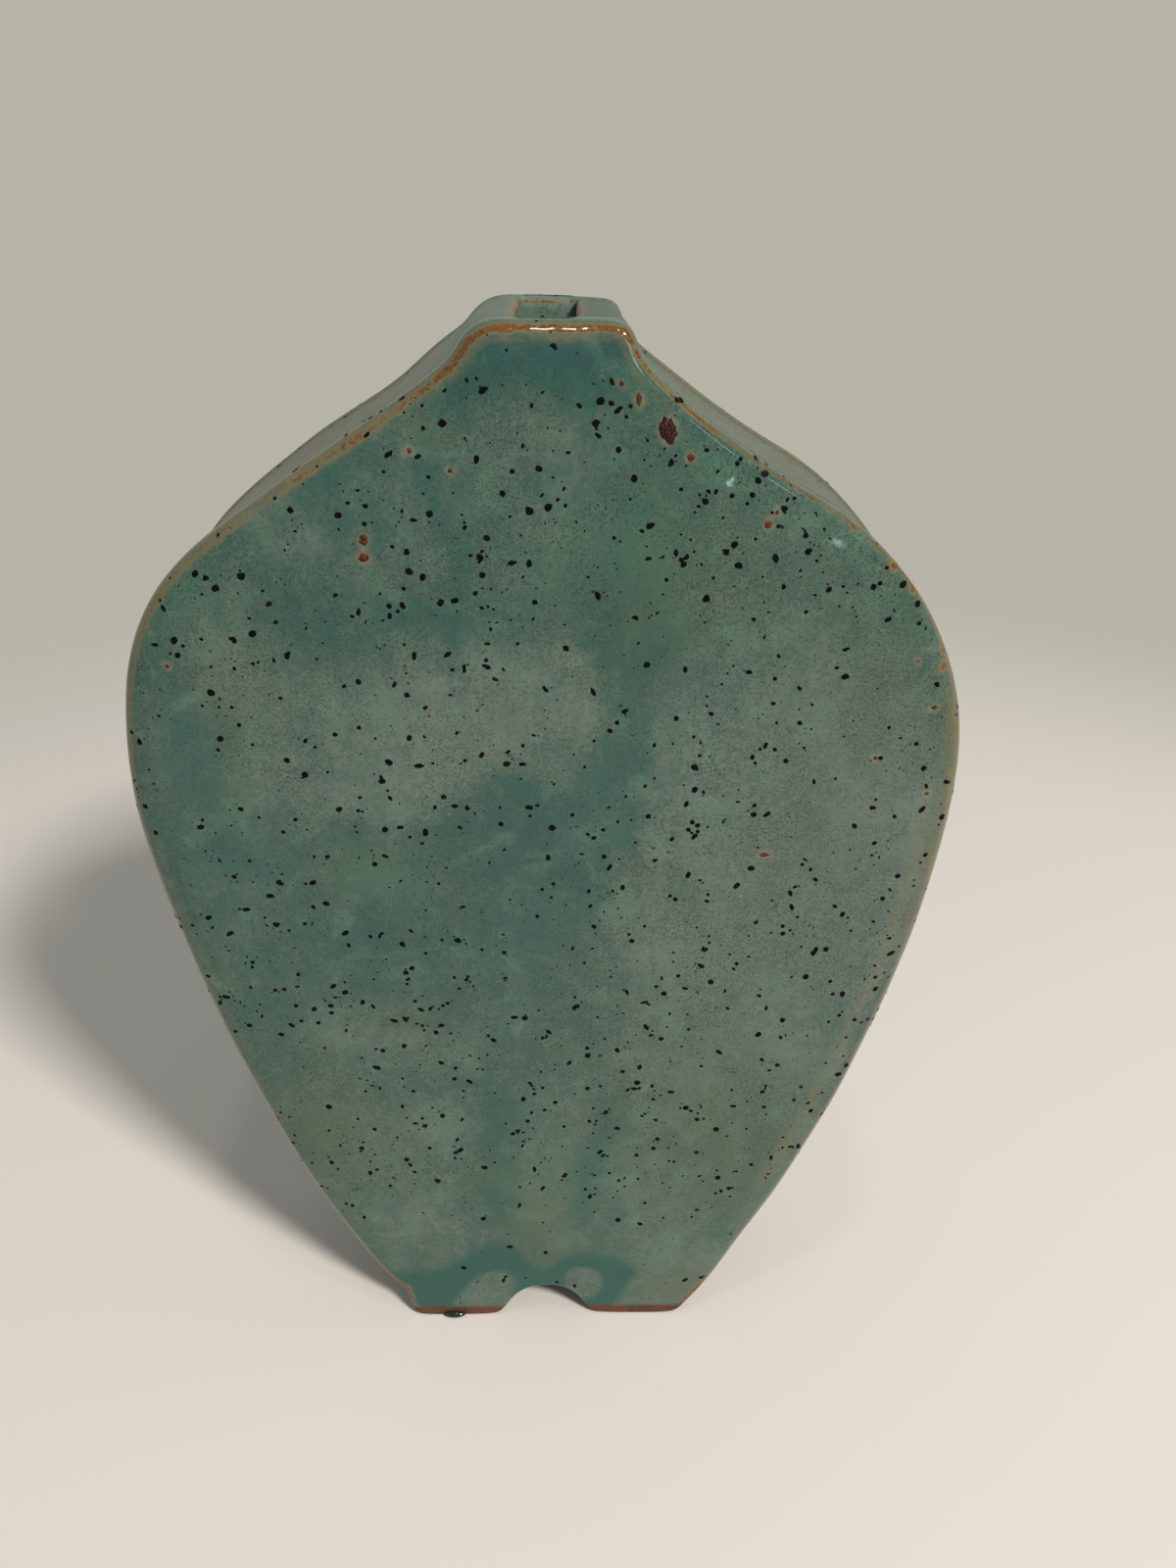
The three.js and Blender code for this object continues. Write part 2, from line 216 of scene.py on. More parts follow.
def to_edge(points, batch=2000):
    """How far each point lies inside the shield, and which point of its outline is nearest."""
    gap, nearest = np.zeros(len(points)), np.zeros(len(points), int)
    for start in range(0, len(points), batch):
        part = points[start:start + batch]
        apart = np.linalg.norm(part[:, None] - shield[None], axis=2)
        near = apart.argmin(axis=1)
        inside = ((part - shield[near]) * shield_in[near]).sum(axis=1) > 0
        gap[start:start + batch] = np.where(inside, apart.min(axis=1), -1)
        nearest[start:start + batch] = near
    return gap, nearest


def rolled(gap, points):
    """How far the soft bevel lets the face fall back near its edge. It is flatter on the right shoulder."""
    reach = BEVEL_WIDTH + BEVEL_WANDER * wave(points, BEVEL_WANDER_SIZE, BEVEL_SEED) - np.asarray(gap, float)
    share = 1 - BEVEL_SOFTER * ease(*SOFTER_UP, points[:, 1]) * ease(*SOFTER_ACROSS, points[:, 0])
    for x, z, size, steeper, wider in BEVEL_FACETS:
        facet = hump(np.linalg.norm(points - [x, z], axis=1), 0, size)
        share, reach = share + steeper * facet, reach + wider * facet
    slope = BEVEL_SLOPE * share * ease(0, FOOT_ARRIS_REACH, points[:, 1])
    return slope * BEVEL_EASE * np.log1p(np.exp(reach / BEVEL_EASE))


def uneven(points, gap, look):
    """The hand-made unevenness of a face, from broad hollows down to small dimples."""
    return sum(deep * wave(points, size, look["seed"] + shift) * ease(*reach, gap)
               for deep, size, reach, shift in FACE_WAVES)


def fuller(points, depth):
    """How far the edge stands out toward the back slab, which was cut a little fuller than the front."""
    full = sum(amount * np.exp(-(((points - [x, z]) / reach) ** 2).sum(axis=1))
               for x, z, reach, amount in BACK_FULLER)
    return full * ease(-SLAB_INSIDE, SLAB_INSIDE, depth)


def spanned(points, border):
    """Triangles over flat points inside a border, which is a closed run of the first of them."""
    edges = [(k, (k + 1) % border) for k in range(border)]
    made = delaunay_2d_cdt([Vector(point) for point in points], edges, [], 1, 1e-6)
    source = [origin[0] for origin in made[3]]
    return [[source[k] for k in face] for face in made[2]]


def filled(ring, spacing, clear):
    """Triangles over a ring, counter-clockwise, with the points that were added inside it."""
    low, high = ring.min(axis=0), ring.max(axis=0)
    rows = np.arange(low[1], high[1], spacing * GRID_ROW)
    grid = np.array([(x + (k % 2) * spacing / 2, z)
                     for k, z in enumerate(rows) for x in np.arange(low[0], high[0], spacing)])
    gap, nearest = to_edge(grid)
    grid = grid[gap > clear[nearest] + spacing * GRID_CLEAR]
    return grid, spanned(np.vstack([ring, grid]), len(ring))


def tube(rings, count, start=0):
    """Four-sided faces between rings of the same count of points."""
    rows = [[start + ring * count + k % count for k in range(count + 1)] for ring in range(rings)]
    return [(low[k], low[k + 1], high[k + 1], high[k])
            for low, high in zip(rows, rows[1:]) for k in range(count)]


# How the glaze breaks to brown along the edge. By height in millimetres: the middle of the line, measured
# from the arris to the face, how strong and how wide it is, and how thin the glaze is outside it.
LEFT_BREAK = {"height": (0, 10, 40, 80, 105, 120, 140, 165, 182, 200, 214, 220),
              "middle": (0.4, 0.6, 0.6, 0.0, -0.2, 0.6, 0.9, 0.9, 0.7, 0.4, 0.45, 0.5),
              "amount": (0.9, 0.95, 0.9, 0.8, 0.55, 0.4, 0.45, 0.6, 0.5, 0.58, 1.15, 1.25),
              "width": (0.5, 0.5, 0.45, 0.45, 0.6, 0.7, 0.6, 0.6, 0.8, 1.1, 0.95, 0.85),
              "outer": (0.5, 0.45, 0.4, 0.4, 0.36, 0.34, 0.34, 0.36, 0.38, 0.36, 0.2, 0.0)}
RIGHT_BREAK = {"height": (0, 8, 14, 40, 80, 105, 125, 150, 163, 172, 185, 200, 214, 220),
               "middle": (0.4, 0.5, 0.6, 0.6, 0.4, 0.6, 0.9, 0.6, -0.4, -0.7, 0.0, 0.0, 0.1, 0.5),
               "amount": (1.0, 1.0, 0.5, 0.4, 0.4, 0.4, 0.4, 0.45, 0.68, 0.9, 1.05, 1.1, 0.8, 1.05),
               "width": (0.6, 0.6, 0.8, 0.9, 1.0, 1.3, 1.5, 1.2, 0.7, 0.42, 0.22, 0.22, 0.7, 0.85),
               "outer": (0.5, 0.5, 0.4, 0.36, 0.36, 0.34, 0.34, 0.36, 0.5, 0.6, 0.1, 0.1, 0.1, 0.0)}
OUTER_FADE, OUTER_END = (-0.4, 0.7), (-4.2, -2.6)
WANDER, WANDER_SIZE = 0.5, 9
INNER_RUN, FLAT_RUN, INSIDE_RUN = -6.0, -0.8, -9.0
SOLE_BAND, SOLE_WANDER, SOLE_WANDER_SIZE = (2.5, 3.4), 0.25, 5
MOUTH_BREAK, MOUTH_BREAK_WIDTH, MOUTH_BREAK_IN, MOUTH_BREAK_DOWN = 0.95, 0.34, 0.45, 1.0

# Stripes of thin or thick glaze along the edge: distance from the arris, how far they wander, half width,
# and the heights at which each begins, is full, fades and ends. Those that never fade end past the lip.
PAST_LIP = (230, 240)
NECK_RUN = (4.4, 0.0, 2.0, (210, 215, *PAST_LIP))
NECK_HAZE = (1.9, 1.0, 1.0, (204, 213, *PAST_LIP))
SHOULDER_STRIP = (3.6, 0.0, 1.8, (165, 185, *PAST_LIP))
RIGHT_STRIPE = (5.2, 2.0, 1.8, (22, 45, 130, 150))
RIGHT_THIN = (1.6, 1.0, 2.2, (85, 115, 150, 168))
LEFT_STRIPE = (2.4, 1.0, 1.1, (60, 85, 115, 135))
LEFT_RUN = (4.4, 1.0, 0.45, (80, 95, 122, 134))
STRIP_ACROSS, LIP_UP = (14, 24), (208, 214)
LIP_EDGE, RIM_EDGE, DROP_EDGE = (-1.5, -0.5), (-1.7, -0.5), (-2.4, -0.6)
HALO_WIDTH, HALO_FADE = 0.5, (0.7, 1.15)

# The pooled glaze over the feet: humps of its crest as x, half width and rise, and the thin lobes in it
# as x, half width, z, half height and lean.
POOL_CREST, POOL_FADE, POOL_WANDER, POOL_WANDER_SIZE = 15, (-4.2, 2.4), 0.9, 7
POOL_HUMPS = ((-12.5, 9.5, 9.3), (9, 8.5, 6.2), (-2.6, 3.2, -3.6))
POOL_END, POOL_END_LEAN, POOL_END_TOP, POOL_END_FADE = 13, 0.45, 14, (-2, 3)
LOBES, LOBE_LEAN_FROM = ((-15.2, 6.8, 5.5, 9.4, 0.35), (7.5, 4.5, 10.3, 5.6, 0.0)), 6
LOBE_CLEAR, LOBE_FADE = (0.75, 1.2), (0.7, 1.15)

# Cloudy patches as x, z, half width, half height and tone: pale above 0, deep teal below.
FRONT_CLOUDS = (
    (-18, 153, 24, 9, 1.0), (4, 158, 12, 9, 0.9), (-30, 140, 18, 6, 0.9), (-56, 166, 6, 14, 0.7),
    (40, 140, 17, 12, 0.9), (50, 162, 14, 12, 0.6), (41, 117, 18, 17, 0.8),
    (34, 96, 16, 14, 0.7), (54, 96, 10, 20, 0.6), (28, 72, 14, 16, 0.5), (48, 72, 8, 14, 0.4),
    (-28, 80, 22, 6, 0.35), (-48, 96, 12, 12, -0.1), (-30, 56, 14, 12, 0.45), (-29, 30, 9, 12, 0.6),
    (25, 34, 11, 14, 0.6), (0, 50, 7, 16, 0.4), (30, 8, 8, 8, 1.0), (-38, 183, 6, 2.5, 0.45),
    (-46, 188, 5, 2, 0.25), (0, 202, 16, 5, 0.25), (5, 186, 22, 9, 0.2),
    (66, 150, 7, 20, 0.5), (64, 122, 7, 18, 0.5), (24, 124, 7, 15, 0.5), (24, 100, 7, 14, 0.4),
    (-21, 195, 8, 6, 0.35), (41, 187, 12, 6, 0.25), (20, 136, 5, 13, 0.3), (47, 129, 8, 8, 0.2),
    (-16, 186, 2.5, 18, -0.5), (12, 120, 4, 20, -0.2), (15, 163, 6, 20, -1.4), (9, 152, 6, 8, -0.4),
    (1, 131, 16, 9, -1.0), (-5, 133, 5, 6, -1.6), (2, 117, 8, 10, -0.25), (-53, 177, 9, 9, -0.3),
    (-21, 171, 18, 5, -0.5), (1, 213, 13, 3.5, -1.5), (-20, 104, 20, 12, -0.3),
    (-42, 112, 14, 14, -0.25), (-42, 196, 16, 5, -0.5), (-64, 150, 5, 16, -0.4),
    (-11, 40, 3.5, 13, -0.7), (-13, 62, 3.5, 13, -0.5), (8, 40, 3.5, 12, -0.7), (10, 60, 3.5, 13, -0.4),
    (-60, 128, 5, 14, -0.3), (-58, 76, 9, 10, -0.25),
)
FRONT_OLIVE = ((38, 57, 16, 18, 0.8), (-48, 57, 9, 14, 0.7), (-2, 30, 7, 12, 0.8), (21, 178, 12, 12, 0.5),
               (-54, 161, 7, 7, 0.5), (58, 150, 10, 16, 0.5), (27, 8, 7, 5, 0.9), (50, 118, 12, 14, 0.4))
FRONT_MINT = ((8.5, 130, 4, 4, 0.7), (-32, 121, 6, 4, 0.4), (30, 199, 5, 3, 0.5), (10, 185, 14, 8, 0.35),
              (-60, 172, 7, 6, 0.35), (0, 45, 12, 10, 0.35))
BACK_CLOUDS = (
    (20, 150, 22, 12, 0.9), (-20, 120, 20, 14, 0.7), (44, 120, 14, 20, 0.5), (-48, 158, 12, 14, 0.5),
    (10, 90, 16, 18, 0.4), (-30, 172, 16, 10, -0.6), (-4, 160, 9, 14, -0.8), (4, 124, 12, 9, -0.7),
    (0, 211, 14, 6, -1.0), (-24, 84, 10, 24, -0.5), (34, 180, 18, 8, -0.4), (54, 150, 8, 14, -0.4),
)
BACK_OLIVE = ((-36, 62, 15, 18, 0.7), (42, 66, 10, 16, 0.6), (2, 34, 8, 12, 0.7), (-56, 140, 10, 14, 0.4))
BACK_MINT = ((-12, 140, 5, 4, 0.6), (24, 104, 6, 5, 0.4), (-8, 184, 14, 8, 0.35))
# How the patches' edges wander: size, shifts of the seed across and up, and reach. Then how fast they fade.
PATCH_DRIFTS = ((17, 0, 9, 5), (6, 3, 5, 2))
PATCH_FADE, CLOUD_STRENGTH = 0.8, 1.6

# Burst iron grains: place of the middle, half width and half height.
FRONT_PITS = (
    (-29.8, 185.4, 0.75, 0.95), (-30.0, 182.4, 0.9, 0.75), (15.6, 208.2, 0.45, 1.05),
    (20.4, 203.3, 1.4, 2.2), (24.3, 199.1, 0.65, 0.65), (-14.9, 196.9, 0.4, 0.4),
    (-21.4, 200.1, 0.4, 0.5), (37.7, 188.1, 0.6, 0.7), (39.0, 190.1, 0.35, 0.4),
    (41.5, 124.6, 0.95, 0.5), (12.8, 210.6, 0.4, 0.45), (-20.6, 153.4, 0.35, 0.3),
    (70.0, 154.8, 0.65, 0.4), (60.4, 144.9, 0.4, 0.4), (65.9, 163.7, 0.35, 0.3),
    (70.8, 137.6, 0.4, 0.35), (61.4, 75.8, 0.45, 0.35), (-65.7, 162.9, 0.35, 0.35),
)
BACK_PITS = ((-18.0, 196.0, 0.6, 0.8), (33.0, 186.0, 0.9, 0.7), (-41.0, 150.0, 0.5, 0.5),
             (12.0, 108.0, 0.6, 0.45))
# Drops of rust on the edge: place and reach.
FRONT_DROPS = ((59.8, 181.0, 1.1), (63.9, 176.7, 1.0), (70.4, 165.2, 0.9), (71.0, 162.4, 1.2),
               (52.4, 187.4, 0.8))
BACK_DROPS = ((-60.0, 181.0, 1.1), (-70.6, 163.0, 1.2), (44.0, 191.6, 0.9))

FRONT_LOOK = {"seed": 3.0, "clouds": FRONT_CLOUDS, "olive": FRONT_OLIVE, "mint": FRONT_MINT,
              "pits": FRONT_PITS, "drops": FRONT_DROPS, "rim": 0.2}
BACK_LOOK = {"seed": 31.0, "clouds": BACK_CLOUDS, "olive": BACK_OLIVE, "mint": BACK_MINT,
             "pits": BACK_PITS, "drops": BACK_DROPS, "rim": 0.36}


def patches(points, spots, seed):
    """Cloudy patches with wandering edges, added up at each point."""
    drift = sum(np.c_[wave(points, size, seed + across), wave(points, size, seed + up)] * reach
                for size, across, up, reach in PATCH_DRIFTS)
    total = np.zeros(len(points))
    for x, z, wide, tall, strength in spots:
        away = ((points + drift - [x, z]) / [wide, tall]) ** 2
        total += strength * np.exp(-away.sum(axis=1) * PATCH_FADE)
    return total


def pooled(points, seed):
    """The band of thick run glaze above the feet, with a thin lobe on either side of the arch."""
    drift = np.c_[wave(points, POOL_WANDER_SIZE, seed), wave(points, POOL_WANDER_SIZE, seed + 4)]
    x, z = (points + drift * POOL_WANDER).T
    crest = POOL_CREST + sum(rise * hump(x, at, wide) for at, wide, rise in POOL_HUMPS)
    past_end = x - POOL_END - POOL_END_LEAN * np.minimum(z, POOL_END_TOP)
    band = (1 - ease(*POOL_FADE, z - crest)) * (1 - ease(*POOL_END_FADE, past_end))
    lobes = np.minimum(*[np.hypot((x - at - lean * (z - LOBE_LEAN_FROM)) / wide, (z - up) / tall)
                         for at, wide, up, tall, lean in LOBES])
    return band * ease(*LOBE_CLEAR, lobes), 1 - ease(*LOBE_FADE, lobes)


def glaze_fields(points, edge_run, nearest, look):
    """What the glaze does at each point of a slab, one value per point for each named field, with painted
    light at the lip.
    """
    seed = look["seed"]
    across, height = shield[nearest].T
    left = across < ARCH_CENTRE
    line = {}
    for part in ("middle", "amount", "width", "outer"):
        by_side = [np.interp(height, side["height"], side[part]) for side in (LEFT_BREAK, RIGHT_BREAK)]
        line[part] = np.where(left, *by_side)
    for part in ("amount", "outer"):
        line[part][on_arch[nearest]] = 0.0
    wander = WANDER * wave(points, WANDER_SIZE, seed + 1)

    def stripe(run, roam, width, heights):
        return hump(edge_run, run + roam * wander, width) * spell(height, *heights)

    past_line = edge_run - line["middle"]
    thin_side = line["outer"] * (1 - ease(*OUTER_FADE, past_line - 0.5 * wander)) * ease(*OUTER_END, edge_run)
    # Painted light: the top of the lip and the inside of the mouth just below it are made paler and bluer, to
    # stand for the light and reflection they catch.
    lip = ease(*LIP_UP, height) * (1 - ease(*LIP_EDGE, edge_run))
    rim = (1 - ease(*RIM_EDGE, edge_run)) * (1 - lip)
    right_stripe, right_thin = stripe(*RIGHT_STRIPE) * ~left, stripe(*RIGHT_THIN) * ~left
    left_stripe, left_run = stripe(*LEFT_STRIPE) * left, stripe(*LEFT_RUN) * left
    shoulder_strip = stripe(*SHOULDER_STRIP) * ease(*STRIP_ACROSS, across)
    drops = [hump(np.hypot(*(points - [x, z]).T), 0, reach) * ease(*DROP_EDGE, edge_run)
             for x, z, reach in look["drops"]]
    halo = np.zeros(len(points))
    for x, z, wide, tall in look["pits"]:
        reach = np.hypot(*((points - [x, z]) / [wide + HALO_WIDTH, tall + HALO_WIDTH]).T)
        halo = np.maximum(halo, 1 - ease(*HALO_FADE, reach))
    pool, lobe = pooled(points, seed)
    cloud = np.tanh(CLOUD_STRENGTH * patches(points, look["clouds"], seed))
    olive = patches(points, look["olive"], seed + 2)
    mint = patches(points, look["mint"], seed + 6)
    return {
        "break_line": np.maximum.reduce([
            line["amount"] * hump(past_line, 0, line["width"]), thin_side, 0.2 * right_stripe,
            0.26 * right_thin, 0.3 * stripe(*NECK_HAZE), look["rim"] * rim, *drops]),
        # The lip's shares of cloud and mint are painted light, not a tone of the glaze.
        "cloud": (cloud + 0.6 * lobe + 0.8 * right_stripe - 0.9 * left_run
                  - 0.9 * stripe(*NECK_RUN) + 1.8 * lip + 1.2 * rim),
        "olive": np.clip(olive + 0.5 * right_stripe + 0.8 * right_thin + 0.6 * left_stripe + 0.9 * rim, 0, 1),
        "mint": np.clip(mint + 0.4 * shoulder_strip + 0.4 * lip, 0, 1),
        "pool": pool,
        "halo": halo,
    }


def glazed_mesh(name, points, faces, fields):
    """A smooth mesh from points in millimetres, carrying the fields of its glaze."""
    mesh = bpy.data.meshes.new(name)
    mesh.from_pydata([tuple(p) for p in np.asarray(points) * MM], [], [tuple(map(int, f)) for f in faces])
    mesh.polygons.foreach_set("use_smooth", [True] * len(mesh.polygons))
    for field, values in fields.items():
        attribute = mesh.attributes.new(field, "FLOAT", "POINT")
        attribute.data.foreach_set("value", np.asarray(values, np.float32))
    mesh.update()
    piece = bpy.data.objects.new(name, mesh)
    bpy.context.scene.collection.objects.link(piece)
    return piece


def slab(name, out, look):
    """A slab with its face at depth SLAB_FACE on the side that out gives: -1 front, 1 back."""
    count = len(shield)
    sheets = []

    def ring(drawn_in, depth, run, seen=1.0):
        """Adds a ring: its points, depth, run from the arris, nearest outline points, seen from outside."""
        sheets.append((shield + shield_in * drawn_in[:, None], depth, run, np.arange(count), seen))

    for angle in np.radians(np.linspace(90, 0, INNER_RINGS)):
        ring(inner_round * (1 - math.cos(angle)), SLAB_INSIDE + inner_round * (1 - math.sin(angle)),
             INNER_RUN, float(angle <= HIDDEN_RADIANS))
    edge_top = SLAB_FACE - rolled(0, shield) - arris_radius
    ring(np.zeros(count), (SLAB_INSIDE + inner_round + edge_top) / 2, -arris_radius * math.pi / 4 + FLAT_RUN)
    for angle in np.radians(np.linspace(0, 90, ARRIS_RINGS)):
        drawn_in = arris_radius * (1 - math.cos(angle))
        depth = SLAB_FACE - rolled(drawn_in, shield) - arris_radius * (1 - math.sin(angle))
        ring(drawn_in, depth, arris_radius * (angle - math.pi / 4))
    faces = tube(len(sheets), count)

    start, last = count * len(sheets), count * (len(sheets) - 1)
    grid, triangles = filled(sheets[-1][0], FACE_GRID, arris_radius)
    gap, near = to_edge(grid)
    faces += [[last + k if k < count else start + k - count for k in face] for face in triangles]
    sheets.append((grid, SLAB_FACE - (rolled(gap, grid) + uneven(grid, gap, look)),
                   arris_radius[near] * math.pi / 4 + gap - arris_radius[near], near, 1.0))
    start += len(grid)
    inside_grid, triangles = filled(sheets[0][0], INSIDE_GRID, inner_round)
    faces += [[k if k < count else start + k - count for k in face][::-1] for face in triangles]
    sheets.append((inside_grid, SLAB_INSIDE, INSIDE_RUN, to_edge(inside_grid)[1], 0.0))
    if out > 0:
        faces = [face[::-1] for face in faces]

    plane = np.vstack([sheet[0] for sheet in sheets])
    depth, edge_run, near, seen = [
        np.concatenate([np.broadcast_to(sheet[k], len(sheet[0])) for sheet in sheets]) for k in range(1, 5)]
    points = np.c_[plane[:, 0], out * depth, plane[:, 1]]
    inside = np.clip(to_edge(plane)[0], 0, None)
    full = fuller(plane, points[:, 1]) * (1 - ease(0, FULLER_REACH, inside))
    points[:, [0, 2]] -= shield_in[near] * full[:, None]

    fields = glaze_fields(plane, edge_run, near, look)
    fields["outside"] = seen
    fields["seam_edge"] = np.arange(len(plane)) < (INNER_RINGS + 1) * count
    sole_line = points[:, 2] - SOLE_WANDER * wave(plane, SOLE_WANDER_SIZE, look["seed"])
    fields["bare"] = 1 - ease(*SOLE_BAND, sole_line)
    from_edge = np.hypot(np.abs(points[:, 1]) - SLAB_INSIDE - MOUTH_BREAK_IN,
                         points[:, 2] - HEIGHT + MOUTH_BREAK_DOWN)
    mouth_break = MOUTH_BREAK * hump(from_edge, 0, MOUTH_BREAK_WIDTH) * mouth_share[near]
    fields["break_line"] = np.maximum(fields["break_line"], mouth_break)
    return glazed_mesh(name, points, faces, fields)


front_slab = slab("front_slab_glazed", -1, FRONT_LOOK)
back_slab = slab("back_slab_glazed", 1, BACK_LOOK)


def tone(red, green, blue):
    """A colour as seen, 0 to 255, as the values a shader takes."""
    seen = [value / 255 for value in (red, green, blue)]
    return tuple([v / 12.92 if v <= 0.04045 else ((v + 0.055) / 1.055) ** 2.4 for v in seen] + [1.0])


def feed(tree, node, inputs):
    """Sets a node's inputs to values or joins them to other sockets."""
    for socket, value in inputs.items():
        if isinstance(value, bpy.types.NodeSocket):
            tree.links.new(value, node.inputs[socket])
        else:
            node.inputs[socket].default_value = value
    return node


def place(tree, kind, inputs=None, **settings):
    """A new node with its settings and its inputs."""
    node = tree.nodes.new(kind)
    for name, value in settings.items():
        setattr(node, name, value)
    return feed(tree, node, inputs or {})


def add_sockets(tree, in_out, kinds):
    for label, kind in kinds.items():
        tree.interface.new_socket(label, in_out=in_out, socket_type="NodeSocket" + kind)


def sums(tree, operation, a, b, c=0.0):
    return place(tree, "ShaderNodeMath", {0: a, 1: b, 2: c}, operation=operation).outputs[0]


def vectors(tree, operation, a, b=(0.0, 0.0, 0.0), scale=1.0):
    """Arithmetic with vectors, as the outputs of its node. Its input 3 is the scale."""
    return place(tree, "ShaderNodeVectorMath", {0: a, 1: b, 3: scale}, operation=operation).outputs


def between(tree, value, low, high, to_low=0.0, to_high=1.0):
    """A smooth step of a value between two limits."""
    span = {"Value": value, 1: low, 2: high, 3: to_low, 4: to_high}
    return place(tree, "ShaderNodeMapRange", span, interpolation_type="SMOOTHSTEP").outputs[0]


def blend(tree, share, first, second):
    return place(tree, "ShaderNodeMix", {0: share, 6: first, 7: second}, data_type="RGBA").outputs[2]


def cloud_noise(tree, where, size, detail=3.0, roughness=0.55, distortion=0.0):
    """Noise whose features are about the given size in millimetres."""
    return place(tree, "ShaderNodeTexNoise", {
        "Vector": where, "Scale": 1 / size, "Detail": detail, "Roughness": roughness,
        "Distortion": distortion}).outputs["Fac"]


def field_of(tree, name):
    return place(tree, "ShaderNodeAttribute", attribute_name=name).outputs["Fac"]


def in_millimetres(tree):
    """The place on the piece."""
    return vectors(tree, "SCALE", place(tree, "ShaderNodeTexCoord").outputs["Object"], scale=1 / MM)[0]


def bumped(tree, height, strength, distance):
    values = {"Height": height, "Strength": strength, "Distance": distance}
    return place(tree, "ShaderNodeBump", values).outputs["Normal"]


def new_finish(name):
    """A new material and its tree."""
    material = bpy.data.materials.new(name)
    material.use_nodes = True
    return material, material.node_tree


def coat(tree, inputs):
    """Sets and joins the inputs of a material's own shader."""
    feed(tree, tree.nodes["Principled BSDF"], inputs)


BLUE_TEAL = tone(36, 74, 69)
DEEP_TEAL = tone(42, 79, 69)
TEAL = tone(52, 83, 72)
SAGE = tone(63, 87, 76)
GREY_SAGE = tone(82, 99, 88)
PALE_GREY = tone(97, 109, 98)
OLIVE = tone(80, 90, 68)
SLATE = tone(64, 84, 82)
MINT = tone(72, 108, 88)
POOLED_TEAL = tone(23, 76, 67)
PEPPER = tone(26, 50, 50)
STIPPLE = tone(44, 60, 52)
TAN = tone(106, 96, 66)
RUST = tone(104, 67, 22)
DARK_RUST = tone(64, 36, 16)
HALO = tone(126, 112, 88)
BARE_CLAY = tone(95, 51, 28)
DARK_CLAY = tone(66, 37, 23)
GLAZE_STOPS = ((0.08, BLUE_TEAL), (0.24, DEEP_TEAL), (0.38, TEAL), (0.50, SAGE), (0.72, GREY_SAGE),
               (0.95, PALE_GREY))
GLAZE_TONE, CLOUD_SHARE = 0.478, 0.30
RUN_STRETCH = (1.0, 1.0, 0.14)
GLAZE_IOR = 1.5

glaze = bpy.data.node_groups.new("teal_glaze", "ShaderNodeTree")
add_sockets(glaze, "INPUT", {"Drift": "Float", "Paleness": "Float", "Dullness": "Float"})
add_sockets(glaze, "OUTPUT", {"Colour": "Color", "Roughness": "Float", "Height": "Float"})
given = place(glaze, "NodeGroupInput").outputs
spot = in_millimetres(glaze)
drifted = place(glaze, "ShaderNodeCombineXYZ", dict.fromkeys(range(3), given["Drift"])).outputs[0]
where = vectors(glaze, "ADD", spot, drifted)[0]
height_mm = place(glaze, "ShaderNodeSeparateXYZ", {0: spot}).outputs[2]
times, plus = partial(sums, glaze, "MULTIPLY"), partial(sums, glaze, "ADD")
rise, mottle, field = partial(between, glaze), partial(cloud_noise, glaze, where), partial(field_of, glaze)

# The tone, from the broadest clouds to the finest grain, each with its strength.
big = mottle(30, 4, 0.55, 0.7)
middle = mottle(8, 5, 0.62, 0.8)
streaks = cloud_noise(glaze, vectors(glaze, "MULTIPLY", where, RUN_STRETCH)[0], 4.5, 3, 0.5, 0.3)
fleck = mottle(2.6, 4, 0.65, 0.6)
grain = mottle(1.0, 4, 0.7)
tone_value = sums(glaze, "MULTIPLY_ADD", field("cloud"), CLOUD_SHARE, GLAZE_TONE)
for layer, strength in ((big, 0.45), (middle, 0.62), (streaks, 0.30), (fleck, 0.55), (grain, 0.85)):
    tone_value = plus(tone_value, times(sums(glaze, "SUBTRACT", layer, 0.5), strength))
ramp = place(glaze, "ShaderNodeValToRGB", {"Fac": plus(tone_value, given["Paleness"])})
stops = ramp.color_ramp.elements
for position, _ in GLAZE_STOPS[1:-1]:
    stops.new(position)
for stop, (position, stop_colour) in zip(stops, GLAZE_STOPS):
    stop.position, stop.color = position, stop_colour
colour = ramp.outputs["Color"]

# Patches of other tones, and the glaze pooled over the feet.
dabs = mottle(6, 4, 0.6, 0.6)
slate_share = rise(dabs, 0.26, 0.46, 0.3, 0.0)
olive_share = plus(field("olive"), rise(mottle(22, 3, 0.5, 0.5), 0.52, 0.75, 0.0, 0.35))
olive_share = times(plus(olive_share, rise(dabs, 0.54, 0.74, 0.0, 0.32)), 0.75)
mint_dabs = rise(mottle(8, 3, 0.55, 0.9), 0.53, 0.70, 0.0, 0.45)
mint_share = sums(glaze, "MAXIMUM", mint_dabs, times(field("mint"), 0.8))
pool_edge = plus(field("pool"), times(sums(glaze, "SUBTRACT", middle, 0.5), 0.5))
pool_share = times(times(rise(pool_edge, 0.1, 0.9), rise(field("pool"), 0.0, 0.15)), 0.92)

# Two sizes of pepper and a fine stipple, both fewer toward the foot.
pepper_zone = times(rise(mottle(12, 3, 0.6), 0.36, 0.58, 0.2, 1.0), rise(height_mm, 30, 100, 0.6, 1.0))
pepper_shares = []
for per_mm, low, high in ((1.7, 0.20, 0.46), (0.8, 0.10, 0.24)):
    cells = place(glaze, "ShaderNodeTexVoronoi", {"Vector": where, "Scale": per_mm}).outputs
    dot = rise(cells["Distance"], low, high, 1.0, 0.0)
    chosen = place(glaze, "ShaderNodeSeparateColor", {0: cells["Color"]}).outputs[0]
    pepper_shares.append(times(times(times(dot, rise(chosen, 0.15, 0.75)), pepper_zone), 0.62))
stipple_zone = times(rise(mottle(13, 3, 0.6, 0.6), 0.38, 0.56, 0.1, 1.0), rise(height_mm, 12, 60, 0.1, 1.0))
stipple_share = times(rise(mottle(0.45, 2, 0.6), 0.47, 0.64, 0.0, 0.7), stipple_zone)

